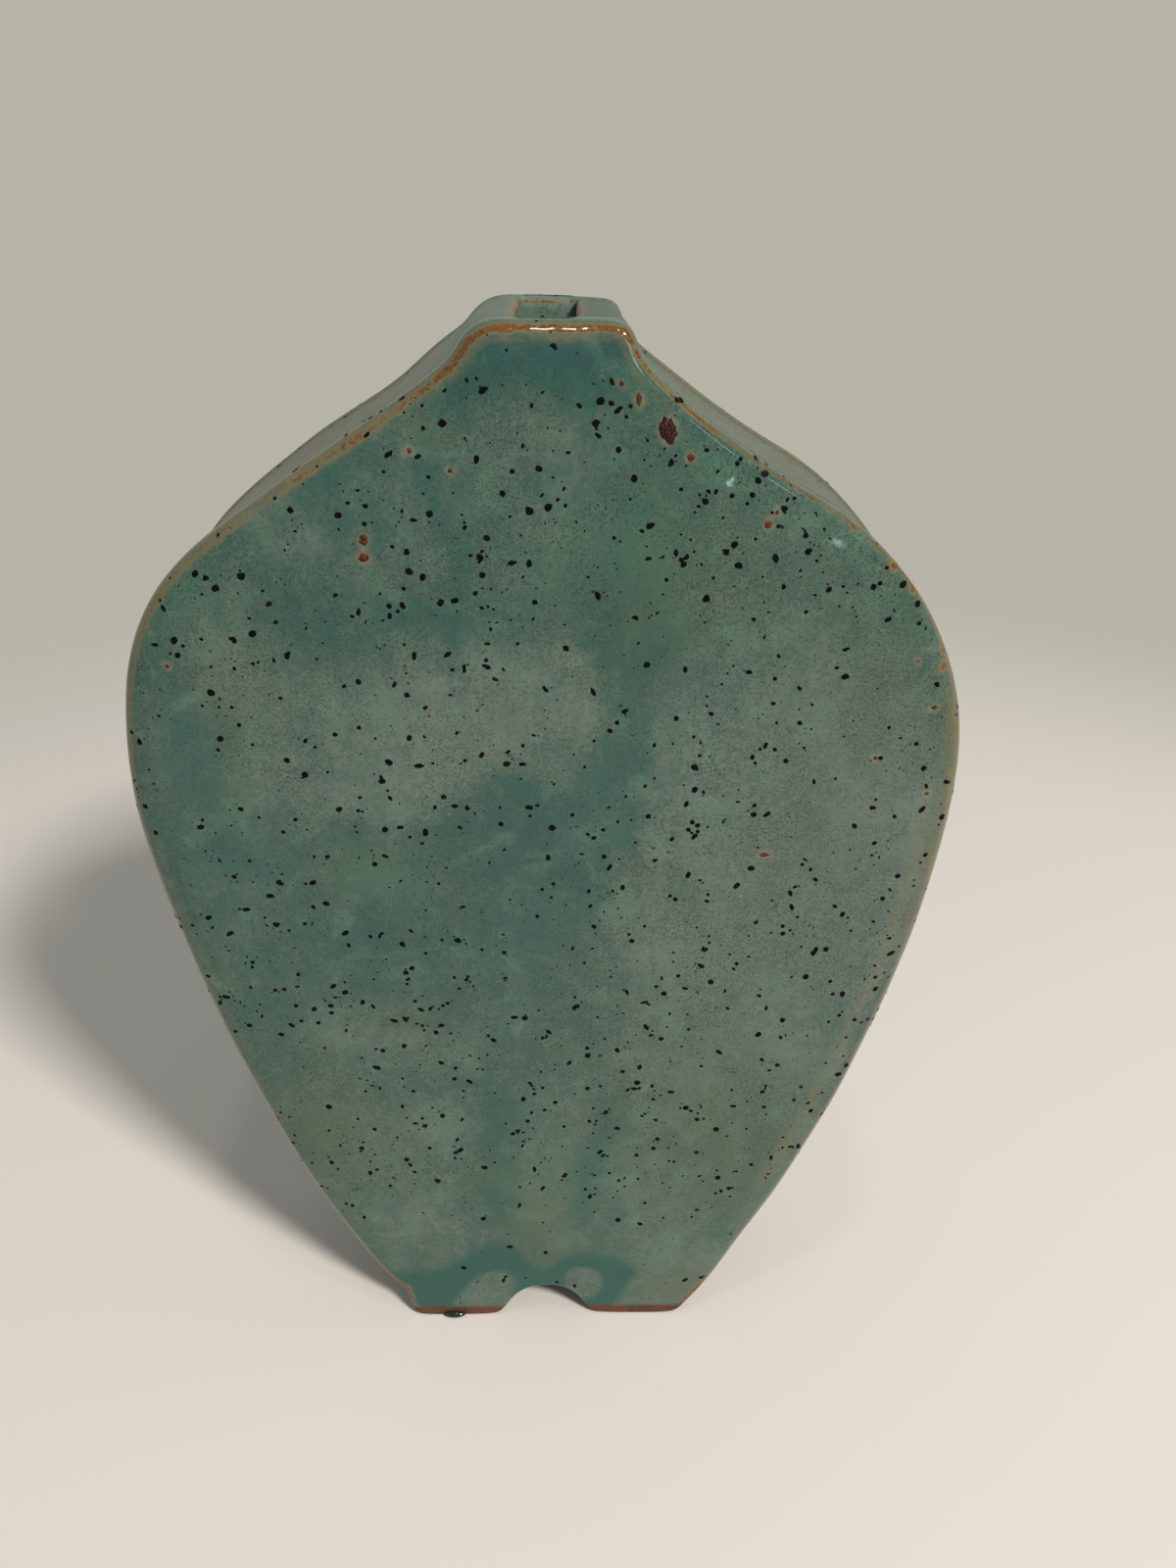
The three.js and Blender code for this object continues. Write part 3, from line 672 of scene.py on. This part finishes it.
# The break to tan and rust on the edges, torn by noise, and the bare clay of the soles.
ragged = mottle(2.4, 4, 0.7)
freckle = mottle(0.55, 2, 0.6)
torn = plus(rise(ragged, 0.3, 0.7, 0.6, 1.22), rise(freckle, 0.3, 0.7, -0.15, 0.15))
torn = times(torn, rise(mottle(7, 2, 0.5), 0.35, 0.6, 0.8, 1.1))
break_value = times(field("break_line"), torn)
dark_share = times(rise(break_value, 0.5, 0.9), rise(freckle, 0.46, 0.64, 0.0, 0.75))
clay = blend(glaze, rise(ragged, 0.35, 0.65), BARE_CLAY, DARK_CLAY)
bare = field("bare")
for share, layer in (
    (slate_share, SLATE), (olive_share, OLIVE), (mint_share, MINT), (pool_share, POOLED_TEAL),
    *[(pepper_share, PEPPER) for pepper_share in pepper_shares], (stipple_share, STIPPLE),
    (times(field("halo"), 0.55), HALO), (rise(break_value, 0.02, 0.52, 0.0, 0.9), TAN),
    (rise(break_value, 0.45, 0.75, 0.0, 0.95), RUST), (dark_share, DARK_RUST), (bare, clay),
):
    colour = blend(glaze, share, colour, layer)

# The gloss, duller on bare clay and in the seams, and the ripple of the surface with beads at the neck.
gloss = plus(rise(middle, 0.3, 0.7, 0.06, 0.11), sums(glaze, "MAXIMUM", times(bare, 0.55), given["Dullness"]))
gloss = plus(gloss, times(field("seam_edge"), 0.75))
ripple = plus(times(mottle(5.5, 2, 0.4), 0.10), times(grain, 0.002))
beaded = times(field("break_line"), rise(height_mm, 206, 213, 0.0, 0.30))
ripple = plus(ripple, times(beaded, mottle(2.6, 0, 0.5)))
place(glaze, "NodeGroupOutput", {"Colour": colour, "Roughness": gloss, "Height": ripple})


def glaze_finish(name, drift, paleness, dullness, sheen):
    """The teal glaze as a material, its noise moved by a drift in millimetres."""
    material, tree = new_finish(name)
    group = place(tree, "ShaderNodeGroup", node_tree=glaze)
    feed(tree, group, {"Drift": drift, "Paleness": paleness, "Dullness": dullness})
    coat(tree, {"Base Color": group.outputs["Colour"], "Roughness": group.outputs["Roughness"],
                "Normal": bumped(tree, group.outputs["Height"], 0.5, 1.0 * MM),
                "IOR": GLAZE_IOR, "Specular IOR Level": sheen})
    return material


front_slab.data.materials.append(glaze_finish("front_glaze", 0.0, 0.0, 0.0, 0.5))
back_slab.data.materials.append(glaze_finish("back_glaze", 140.0, 0.0, 0.0, 0.5))
for piece, node in ((front_slab, "front_slab"), (back_slab, "back_slab")):
    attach(piece, "root")
    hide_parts(node)

# Left and right walls. Each is a strip of the same clay, about 34 mm deep and 6 mm thick, bent to
# the slabs' edge from the foot over the shoulder to the mouth and welded to both slabs with slip.
# The glaze pools in the seams and breaks to brown on the rim of the mouth.

WALL_RECESS, WALL_THICKNESS, WALL_HALF_DEPTH = 0.8, 6.0, 17.05
WALL_STEP, WALL_SPONGE, WALL_BANDS, WALL_OVERRUN = 0.6, 0.8, 32, 20
WALL_TRIM, ARCH_CLEAR = 0.2, 3
WALL_SWELL, SWELL_SIZE, SWELL_DEPTH, SWELL_FADE = 0.18, 26, 18, (0.5, 5)
SEAM_LIFT, SEAM_REACH, SEAM_POOL = 0.38, 9.0, 0.08
LIP_LIFT, LIP_TONE_BAND = 0.6, (204, 213)
LIP_LIFT_BAND, LIP_SWELL_BAND = (HEIGHT - 14, HEIGHT - 4), (HEIGHT - 14, HEIGHT - 3)
OUTSIDE_NEAR, OUTSIDE_UP, OUTSIDE_SMOOTHING = 0.6, (2.5, 5), 4
STREAK_ACROSS, STREAK_ALONG = 2.4, 45
MOUTH_RUST, MOUTH_RUST_WIDTH, MOUTH_RUST_IN = 0.9, 0.8, 0.5
WALL_SOLE = (1.2, 2.2)


def inner_line(side):
    """The inner face of a wall from below the foot to above the lip, drawn for the right."""
    flank = flank_curves(side)
    corner = np.array([side["foot"], 0.0])
    top = np.array([side["neck"], HEIGHT]) + heading(180 - side["neck_slope"]) * side["neck_round"]
    line = np.concatenate([
        curve(corner - unit(flank[0] - corner) * WALL_OVERRUN, flank[0]), flank[:-1],
        curve(flank[-1], top), curve(top, top + [0, WALL_OVERRUN]),
    ])
    ahead = unit(np.gradient(line, axis=0))
    thickness = WALL_THICKNESS + side["lip_swell"] * ease(*LIP_SWELL_BAND, line[:, 1])
    drawn_in = line + np.c_[-ahead[:, 1], ahead[:, 0]] * (WALL_RECESS + thickness)[:, None]
    inside = (drawn_in[:, 1] > WALL_RECESS) & (drawn_in[:, 1] < HEIGHT - WALL_RECESS)
    return drawn_in[inside]


def wall(name, side):
    """A wall as the band between the slabs' outline, drawn in a little, and its own inner face."""
    sign = side["sign"]
    inner = inner_line(side)
    foot_in, mouth_in = inner[0, 0], inner[-1, 0]
    outline = shield + shield_in * WALL_RECESS
    mine = outline[outline[:, 0] * sign > 0][::sign] * [sign, 1]
    above_sole = (mine[:, 1] > WALL_RECESS + WALL_TRIM) | (mine[:, 0] > foot_in)
    below_lip = (mine[:, 1] < HEIGHT - WALL_RECESS - WALL_TRIM) | (mine[:, 0] > mouth_in)
    at_arch = (mine[:, 1] < ARCH_HEIGHT + ARCH_CLEAR) & (mine[:, 0] < foot_in)
    outer = mine[above_sole & below_lip & ~at_arch]
    band = np.vstack([[foot_in, WALL_RECESS], outer, [mouth_in, HEIGHT - WALL_RECESS], inner[::-1]])
    band = sponged(evenly(band, WALL_STEP), WALL_SPONGE, WALL_STEP)
    plane = band * [sign, 1]
    away = -inward(band)
    count = len(band)
    edge = outer[np.linalg.norm(band[:, None] - outer[None], axis=2).argmin(axis=1)]
    is_outer = np.linalg.norm(band - edge, axis=1) < OUTSIDE_NEAR
    weight = is_outer * ease(*OUTSIDE_UP, band[:, 1])
    window = 2 * OUTSIDE_SMOOTHING + 1
    weight = np.r_[weight[-OUTSIDE_SMOOTHING:], weight, weight[:OUTSIDE_SMOOTHING]]
    weight = np.convolve(weight, np.ones(window) / window, "valid") * is_outer
    lip = is_outer * ease(*LIP_LIFT_BAND, band[:, 1])
    points, seam = [], []
    for depth in np.linspace(-WALL_HALF_DEPTH, WALL_HALF_DEPTH, WALL_BANDS):
        to_seam = WALL_HALF_DEPTH - abs(depth)
        lift = np.maximum(SEAM_LIFT * (1 - ease(0, SEAM_REACH, to_seam)) * weight, LIP_LIFT * lip)
        swell = WALL_SWELL * np.array([
            noise.noise(Vector((x / SWELL_SIZE, depth / SWELL_DEPTH, z / SWELL_SIZE + 50 * sign)))
            for x, z in band])
        swell *= ease(*SWELL_FADE, to_seam) * is_outer
        ring = band + away * (lift + swell + fuller(plane, depth) * is_outer)[:, None]
        points.append(np.c_[ring[:, 0] * sign, np.full(count, depth), ring[:, 1]])
        seam.append(math.exp(-to_seam ** 2) * weight)
    faces = [(b, c, d, a) if sign > 0 else (a, d, c, b) for a, b, c, d in tube(WALL_BANDS, count)]
    last = (WALL_BANDS - 1) * count
    for corners in spanned(band, count):
        corners = corners[::sign]
        faces.append(corners)
        faces.append([last + k for k in corners][::-1])
    points, plane, weight = np.vstack(points), np.tile(plane, (WALL_BANDS, 1)), np.tile(weight, WALL_BANDS)
    mouth = np.hypot(plane[:, 0] * sign - mouth_in - MOUTH_RUST_IN,
                     plane[:, 1] - HEIGHT + WALL_RECESS + MOUTH_RUST_IN)
    at_lip = ease(*LIP_TONE_BAND, points[:, 2])
    along = np.tile(np.arange(count) * WALL_STEP, WALL_BANDS)
    streak = wave(np.c_[points[:, 1] / STREAK_ACROSS, along / STREAK_ALONG], 1.0, 17.0 * sign)
    return glazed_mesh(name, points, faces, {
        "break_line": np.maximum(MOUTH_RUST * hump(mouth, 0, MOUTH_RUST_WIDTH), 0.2 * weight * (1 - at_lip)),
        "cloud": 0.35 + 0.4 * wave(plane, 30, 7.0 * sign) + 0.5 * streak - 1.0 * at_lip,
        "olive": (0.45 + 0.3 * wave(plane, 24, 11.0 * sign)) * (1 - 0.8 * at_lip),
        "pool": SEAM_POOL * np.concatenate(seam),
        "bare": 1 - ease(*WALL_SOLE, points[:, 2]),
        "outside": weight,
    })


left_wall = wall("left_wall_glazed", LEFT_SIDE)
right_wall = wall("right_wall_glazed", RIGHT_SIDE)
# Painted light: the left wall, which the window's light does not reach, is given a paler glaze than the right
# so that it looks as bright.
left_wall.data.materials.append(glaze_finish("left_wall_glaze", 310.0, 0.55, 0.3, 0.3))
right_wall.data.materials.append(glaze_finish("right_wall_glaze", 470.0, 0.25, 0.3, 0.2))
for piece, node in ((left_wall, "left_wall"), (right_wall, "right_wall")):
    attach(piece, "root")
    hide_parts(node)

# Floor and seam coils. The floor is a plain slab set between the walls above the arch, and the
# coils are thin rolls of clay pressed into the seams inside before the front slab closed the pot.
# Glaze was swilled over the floor; the coils show the fired clay.

PALE_CLAY = tone(138, 100, 74)

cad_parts["floor"].data.materials.clear()
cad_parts["floor"].data.materials.append(glaze_finish("floor_glaze", 620.0, 0.05, 0.0, 0.5))

fired_clay, clay_tree = new_finish("fired_clay")
clay_where = in_millimetres(clay_tree)
clay_cloud = cloud_noise(clay_tree, clay_where, 4, 5, 0.6)
clay_grit = cloud_noise(clay_tree, clay_where, 0.5, 3, 0.6)
clay_colour = blend(clay_tree, between(clay_tree, clay_cloud, 0.35, 0.65), BARE_CLAY, PALE_CLAY)
coat(clay_tree, {
    "Base Color": blend(clay_tree, between(clay_tree, clay_grit, 0.64, 0.72), clay_colour, DARK_CLAY),
    "Roughness": between(clay_tree, clay_cloud, 0.3, 0.7, 0.62, 0.8),
    "Normal": bumped(clay_tree, clay_grit, 0.4, 0.3 * MM)})
for coil in ("left_seam_coil", "right_seam_coil", "floor_seam_coil", "left_floor_coil", "right_floor_coil"):
    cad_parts[coil].data.materials.clear()
    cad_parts[coil].data.materials.append(fired_clay)

# Iron spots. Grains of iron in the clay melt in the kiln and bleed up through the glaze as flat
# dark specks, from pin pricks to about 2 mm, lying singly, in pairs and in loose clusters.

SPOT_SIDES, SPOT_TOP, SPOT_BODY = 14, 0.62, 0.07
SPOT_CLUSTER, SPOT_ALONE = 5.0, 0.55
SPOT_SIZE_POWER, SPOT_STRETCH = 2.7, 0.65
JAGS_PER_MM = 1.3
IRON_BLACK, IRON_RUST, IRON_SHEEN = tone(9, 8, 7), tone(56, 28, 16), 0.06
# How the number of spots changes up the vase: from one height to another, and the factors there.
SPOT_LEVELS = ((20.0, 50.0, 0.33, 1.5), (85.0, 115.0, 1.0, 0.95), (145.0, 160.0, 1.0, 0.82),
               (165.0, 195.0, 1.0, 1.65), (204.0, 212.0, 1.0, 0.35))

spots = bpy.data.node_groups.new("iron_spots", "GeometryNodeTree")
add_sockets(spots, "INPUT", {
    "Geometry": "Geometry", "Spots per square metre": "Float", "Smallest": "Float", "Largest": "Float",
    "Clustering": "Float", "Seed": "Int", "Finish": "Material"})
add_sockets(spots, "OUTPUT", {"Geometry": "Geometry"})
taken = place(spots, "NodeGroupInput").outputs
spot_times, spot_plus = partial(sums, spots, "MULTIPLY"), partial(sums, spots, "ADD")
here = vectors(spots, "SCALE", place(spots, "GeometryNodeInputPosition").outputs[0], scale=1 / MM)[0]
level = place(spots, "ShaderNodeSeparateXYZ", {0: here}).outputs[2]
seed_shift = place(spots, "ShaderNodeCombineXYZ", dict.fromkeys(range(3), taken["Seed"])).outputs[0]
crowd = cloud_noise(spots, vectors(spots, "ADD", here, seed_shift)[0], SPOT_CLUSTER, 2, 0.5)
crowding = spot_times(between(spots, crowd, 0.50, 0.66), taken["Clustering"])
outside = place(spots, "GeometryNodeInputNamedAttribute", {"Name": "outside"}).outputs[0]
density = spot_times(taken["Spots per square metre"], outside)
density = spot_times(density, spot_plus(crowding, SPOT_ALONE))
for low, high, below, above in SPOT_LEVELS:
    density = spot_times(density, between(spots, level, low, high, below, above))
strewn = place(spots, "GeometryNodeDistributePointsOnFaces", {
    "Mesh": taken["Geometry"], "Density": density, "Seed": taken["Seed"]}).outputs


def chance(low, high, offset):
    """A random value for each spot, its seed set off from the tree's own."""
    limits = {"Seed": spot_plus(taken["Seed"], float(offset)), 2: low, 3: high}
    return place(spots, "FunctionNodeRandomValue", limits, data_type="FLOAT").outputs[1]


def stored(geometry, name, value, kind):
    """Geometry whose points carry a named value."""
    values = {"Geometry": geometry, "Name": name, "Value": value}
    return place(spots, "GeometryNodeStoreNamedAttribute", values, data_type=kind, domain="POINT").outputs[0]


def read_back(name, kind):
    return place(spots, "GeometryNodeInputNamedAttribute", {"Name": name}, data_type=kind).outputs[0]


size_share = sums(spots, "POWER", chance(0.0, 1.0, 1), SPOT_SIZE_POWER)
size_span = sums(spots, "SUBTRACT", taken["Largest"], taken["Smallest"])
size = spot_plus(taken["Smallest"], spot_times(size_share, size_span))
points = stored(strewn["Points"], "spot_size", size, "FLOAT")
points = stored(points, "spot_facing", strewn["Normal"], "FLOAT_VECTOR")
turn = place(spots, "FunctionNodeAxisAngleToRotation", {"Axis": (0, 0, 1), "Angle": chance(0.0, 6.283, 2)})
turned = place(spots, "FunctionNodeRotateRotation", {
    "Rotation": strewn["Rotation"], "Rotate By": turn.outputs[0]}, rotation_space="LOCAL").outputs[0]
stretch = spot_plus(1.0, sums(spots, "POWER", chance(0.0, SPOT_STRETCH, 3), 2.0))
scale = place(spots, "ShaderNodeCombineXYZ", {
    0: spot_times(size, stretch), 1: sums(spots, "DIVIDE", size, stretch), 2: spot_times(size, SPOT_BODY)})
blob = place(spots, "GeometryNodeMeshCone", {
    "Vertices": SPOT_SIDES, "Side Segments": 1, "Radius Top": SPOT_TOP, "Radius Bottom": 1.0, "Depth": 1.0},
    fill_type="NGON").outputs["Mesh"]
instances = place(spots, "GeometryNodeInstanceOnPoints", {
    "Points": points, "Instance": blob, "Rotation": turned, "Scale": scale.outputs[0]})
real = place(spots, "GeometryNodeRealizeInstances", {"Geometry": instances.outputs[0]})
jagged = place(spots, "ShaderNodeTexNoise", {"Vector": here, "Scale": JAGS_PER_MM, "Detail": 2.0})
jag = vectors(spots, "SUBTRACT", jagged.outputs["Color"], (0.5, 0.5, 0.5))[0]
jag_size = spot_times(read_back("spot_size", "FLOAT"), between(spots, level, 110.0, 190.0, 0.7, 1.3))
jag = vectors(spots, "SCALE", jag, scale=jag_size)[0]
spot_facing = read_back("spot_facing", "FLOAT_VECTOR")
off_face = vectors(spots, "DOT_PRODUCT", jag, spot_facing)["Value"]
off_vector = vectors(spots, "SCALE", spot_facing, scale=off_face)[0]
shaped = place(spots, "GeometryNodeSetPosition", {
    "Geometry": real.outputs[0], "Offset": vectors(spots, "SUBTRACT", jag, off_vector)[0]})
coated = place(spots, "GeometryNodeSetMaterial", {"Geometry": shaped.outputs[0], "Material": taken["Finish"]})
place(spots, "NodeGroupOutput", {"Geometry": coated.outputs[0]})

iron, iron_tree = new_finish("melted_iron")
iron_where = in_millimetres(iron_tree)
iron_cloud = cloud_noise(iron_tree, iron_where, 9, 2, 0.5)
iron_fine = cloud_noise(iron_tree, iron_where, 0.6, 3, 0.6)
iron_share = sums(iron_tree, "MULTIPLY", between(iron_tree, iron_cloud, 0.58, 0.76),
                  between(iron_tree, iron_fine, 0.45, 0.6))
coat(iron_tree, {"Base Color": blend(iron_tree, iron_share, IRON_BLACK, IRON_RUST),
                 "Roughness": between(iron_tree, iron_fine, 0.3, 0.7, 0.35, 0.55),
                 "Specular IOR Level": IRON_SHEEN})


def strew(name, host, per_square_metre, smallest, largest, clustering, seed):
    """Iron spots over the outside of a glazed piece, as one plain mesh."""
    carrier = bpy.data.objects.new(name, host.data.copy())
    bpy.context.scene.collection.objects.link(carrier)
    carrier.data.materials.clear()
    modifier = carrier.modifiers.new("iron_spots", "NODES")
    modifier.node_group = spots
    sockets = {item.name: item.identifier for item in spots.interface.items_tree if item.in_out == "INPUT"}
    settings = {"Spots per square metre": per_square_metre, "Smallest": smallest * MM,
                "Largest": largest * MM, "Clustering": clustering, "Seed": seed, "Finish": iron}
    for label, value in settings.items():
        modifier[sockets[label]] = value
    evaluated = carrier.evaluated_get(bpy.context.evaluated_depsgraph_get())
    strewn_mesh = bpy.data.meshes.new_from_object(evaluated)
    carrier.modifiers.remove(modifier)
    carrier.data = strewn_mesh
    strewn_mesh.name = name
    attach(carrier, "root")


strew("front_iron_spots", front_slab, 52000.0, 0.16, 0.68, 2.2, 5)
strew("back_iron_spots", back_slab, 52000.0, 0.16, 0.68, 2.2, 17)
strew("left_wall_iron_spots", left_wall, 16000.0, 0.14, 0.55, 1.5, 23)
strew("right_wall_iron_spots", right_wall, 16000.0, 0.14, 0.55, 1.5, 41)

# Burst pits. Where a larger grain of iron sat just under the surface, its gas broke the glaze and
# left a small rust-red bead in a thin pale ring. They lie mostly along the front's shoulders.

PIT_SIDES, PIT_RISE, PIT_TILT = 26, 0.28, math.radians(-24)
PIT_RINGS = ((1.0, -0.10), (0.84, 0.55), (0.45, 0.92), (0.0, 1.0))
PIT_RAGGED, PIT_RAGGED_FINE, PIT_RAGGED_REACH = 0.42, 0.18, 2.4
PIT_LARGE = (0.7, 1.2)
PIT_SHEEN = 0.2

pit_iron, pit_tree = new_finish("rust_red_iron")
pit_fine = cloud_noise(pit_tree, in_millimetres(pit_tree), 0.8, 4, 0.7, 0.6)
pit_large = field_of(pit_tree, "large")
pit_light = blend(pit_tree, pit_large, tone(98, 50, 24), tone(64, 24, 14))
pit_dark = blend(pit_tree, pit_large, tone(42, 19, 10), tone(15, 6, 5))
coat(pit_tree, {"Base Color": blend(pit_tree, between(pit_tree, pit_fine, 0.36, 0.62), pit_dark, pit_light),
                "Roughness": between(pit_tree, pit_fine, 0.3, 0.7, 0.08, 0.2),
                "Specular IOR Level": PIT_SHEEN,
                "Normal": bumped(pit_tree, pit_fine, 0.9, 0.5 * MM)})


def burst_pits(name, out, look):
    """Low ragged beads at the burst grains of one face."""
    points, faces, large = [], [], []
    places = np.array([pit[:2] for pit in look["pits"]])
    gap = to_edge(places)[0]
    depth = SLAB_FACE - rolled(gap, places) - uneven(places, gap, look)
    for (x, z, wide, tall), face_depth in zip(look["pits"], depth):
        start = len(points)
        small = min(wide, tall)
        largeness = float(ease(*PIT_LARGE, small))
        tilt = PIT_TILT * -out * largeness
        for share, lift in PIT_RINGS:
            for k in range(PIT_SIDES if share else 1):
                angle = 2 * math.pi * k / PIT_SIDES
                east, north = math.cos(angle), math.sin(angle)
                around = Vector((x + PIT_RAGGED_REACH * east, z + PIT_RAGGED_REACH * north, 2.0))
                ragged_by = PIT_RAGGED * noise.noise(around) + PIT_RAGGED_FINE * noise.noise(around * 3)
                reach = share * (1 + ragged_by)
                across, up = wide * reach * east, tall * reach * north
                points.append((x + across * math.cos(tilt) + up * math.sin(tilt),
                               out * (face_depth + lift * PIT_RISE * small),
                               z - across * math.sin(tilt) + up * math.cos(tilt)))
                large.append(largeness)
        faces += tube(3, PIT_SIDES, start)
        top = start + 2 * PIT_SIDES
        faces += [(top + k, top + (k + 1) % PIT_SIDES, top + PIT_SIDES) for k in range(PIT_SIDES)]
    if out > 0:
        faces = [face[::-1] for face in faces]
    piece = glazed_mesh(name, points, faces, {"large": large})
    piece.data.materials.append(pit_iron)
    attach(piece, "root")


burst_pits("front_burst_pits", -1, FRONT_LOOK)
burst_pits("back_burst_pits", 1, BACK_LOOK)

# Glaze drip. One drop of the same glaze ran down the front of the left foot in the kiln and froze
# over the edge of its bare sole as a small dark bead.

DRIP_AT = (-22.6, -22.9, 0.76)
DRIP_HALF = (2.7, 1.3, 0.75)
DRIP_RINGS, DRIP_SIDES = 8, 24
DRIP_DARK, DRIP_GREEN = tone(10, 20, 12), tone(26, 40, 24)

bead = bmesh.new()
bmesh.ops.create_uvsphere(bead, u_segments=DRIP_SIDES, v_segments=DRIP_RINGS, radius=1.0)
bead.verts.index_update()
drip_points = np.array([corner.co for corner in bead.verts]) * DRIP_HALF + DRIP_AT
drip_faces = [[corner.index for corner in face.verts] for face in bead.faces]
bead.free()
drip = glazed_mesh("glaze_drip", drip_points, drip_faces, {})
drip_finish, drip_tree = new_finish("dark_run_glaze")
drip_cloud = cloud_noise(drip_tree, in_millimetres(drip_tree), 1.5, 3, 0.6)
drip_share = between(drip_tree, drip_cloud, 0.35, 0.65)
coat(drip_tree, {"Base Color": blend(drip_tree, drip_share, DRIP_DARK, DRIP_GREEN),
                 "Roughness": between(drip_tree, drip_cloud, 0.3, 0.7, 0.1, 0.2)})
drip.data.materials.append(drip_finish)
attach(drip, "root")

# Table, light and camera. The vase stands on a plain pale table in soft daylight from the front
# right, with its shadow falling to the back left. The camera looks down on it from close by.

TABLE_REACH, TABLE_FADE, TABLE_END = 0.62, 0.30, 0.97
TABLE_WHITE, TABLE_DULLNESS = tone(219, 211, 201), 0.5
WALL_GREY = tone(183, 180, 167)
ROOM_LIGHT, ROOM_STRENGTH = (0.93, 1.0, 1.03, 1.0), 0.32

bpy.ops.mesh.primitive_circle_add(vertices=96, radius=TABLE_REACH, fill_type="NGON", location=(0, 0, 0))
table = bpy.context.object
table.name = "table"
table_finish, table_tree = new_finish("table_white")
table_far = vectors(table_tree, "LENGTH", place(table_tree, "ShaderNodeTexCoord").outputs["Object"])["Value"]
coat(table_tree, {"Base Color": TABLE_WHITE, "Roughness": TABLE_DULLNESS,
                  "Alpha": between(table_tree, table_far, TABLE_FADE, TABLE_REACH * TABLE_END, 1.0, 0.0)})
table.data.materials.append(table_finish)

world = bpy.data.worlds.new("room")
bpy.context.scene.world = world
world.use_nodes = True
room_tree = world.node_tree
room_tree.nodes.clear()
ray = place(room_tree, "ShaderNodeLightPath").outputs
seen = sums(room_tree, "MAXIMUM", ray["Is Camera Ray"], ray["Is Transmission Ray"])
seen = sums(room_tree, "MAXIMUM", seen, ray["Is Glossy Ray"])
lit = place(room_tree, "ShaderNodeBackground", {"Color": ROOM_LIGHT, "Strength": ROOM_STRENGTH})
shown = place(room_tree, "ShaderNodeBackground", {"Color": WALL_GREY, "Strength": 1.0})
mixed = place(room_tree, "ShaderNodeMixShader", {0: seen, 1: lit.outputs[0], 2: shown.outputs[0]})
place(room_tree, "ShaderNodeOutputWorld", {"Surface": mixed.outputs[0]})


def soft_light(name, place_at, aim, size, watts, colour):
    """A square soft light that looks at a point."""
    data = bpy.data.lights.new(name, "AREA")
    data.size, data.energy, data.color = size, watts, colour
    lamp = bpy.data.objects.new(name, data)
    bpy.context.scene.collection.objects.link(lamp)
    lamp.location = place_at
    lamp.rotation_mode = "QUATERNION"
    lamp.rotation_quaternion = (Vector(aim) - Vector(place_at)).to_track_quat("-Z", "Y")


soft_light("window", (0.894, -1.187, 1.44), (0, 0, 0.1), 0.28, 44.0, (1.0, 0.98, 0.95))
soft_light("ceiling_lamp", (0.02, -0.30, 1.18), (0, 0, 0.2), 0.06, 0.8, (1.0, 0.97, 0.92))
soft_light("far_window", (0.37, -0.96, 0.26), (0, 0, 0.18), 0.09, 0.20, (0.80, 0.93, 1.0))

CAMERA_AT = (0.00405, -0.22433, 0.24124)
CAMERA_TURN, CAMERA_PITCH, CAMERA_ROLL = (math.radians(angle) for angle in (1.081, 26.754, 0.342))
FRAME_LONG_SIDE, FOCAL_PIXELS = 1600, 1250
SENSOR, NEAREST_SEEN = 36.0, 0.01

camera_data = bpy.data.cameras.new("camera")
camera_data.sensor_width = SENSOR
camera_data.lens = SENSOR * FOCAL_PIXELS / FRAME_LONG_SIDE
camera_data.clip_start = NEAREST_SEEN
camera = bpy.data.objects.new("camera", camera_data)
bpy.context.scene.collection.objects.link(camera)
turned_aside = Matrix.Rotation(-CAMERA_TURN, 4, "Z")
tipped_down = Matrix.Rotation(math.pi / 2 - CAMERA_PITCH, 4, "X")
camera.matrix_world = (Matrix.Translation(CAMERA_AT) @ turned_aside @ tipped_down
                       @ Matrix.Rotation(CAMERA_ROLL, 4, "Z"))
bpy.context.scene.camera = camera
bpy.context.scene.view_settings.view_transform = "Standard"
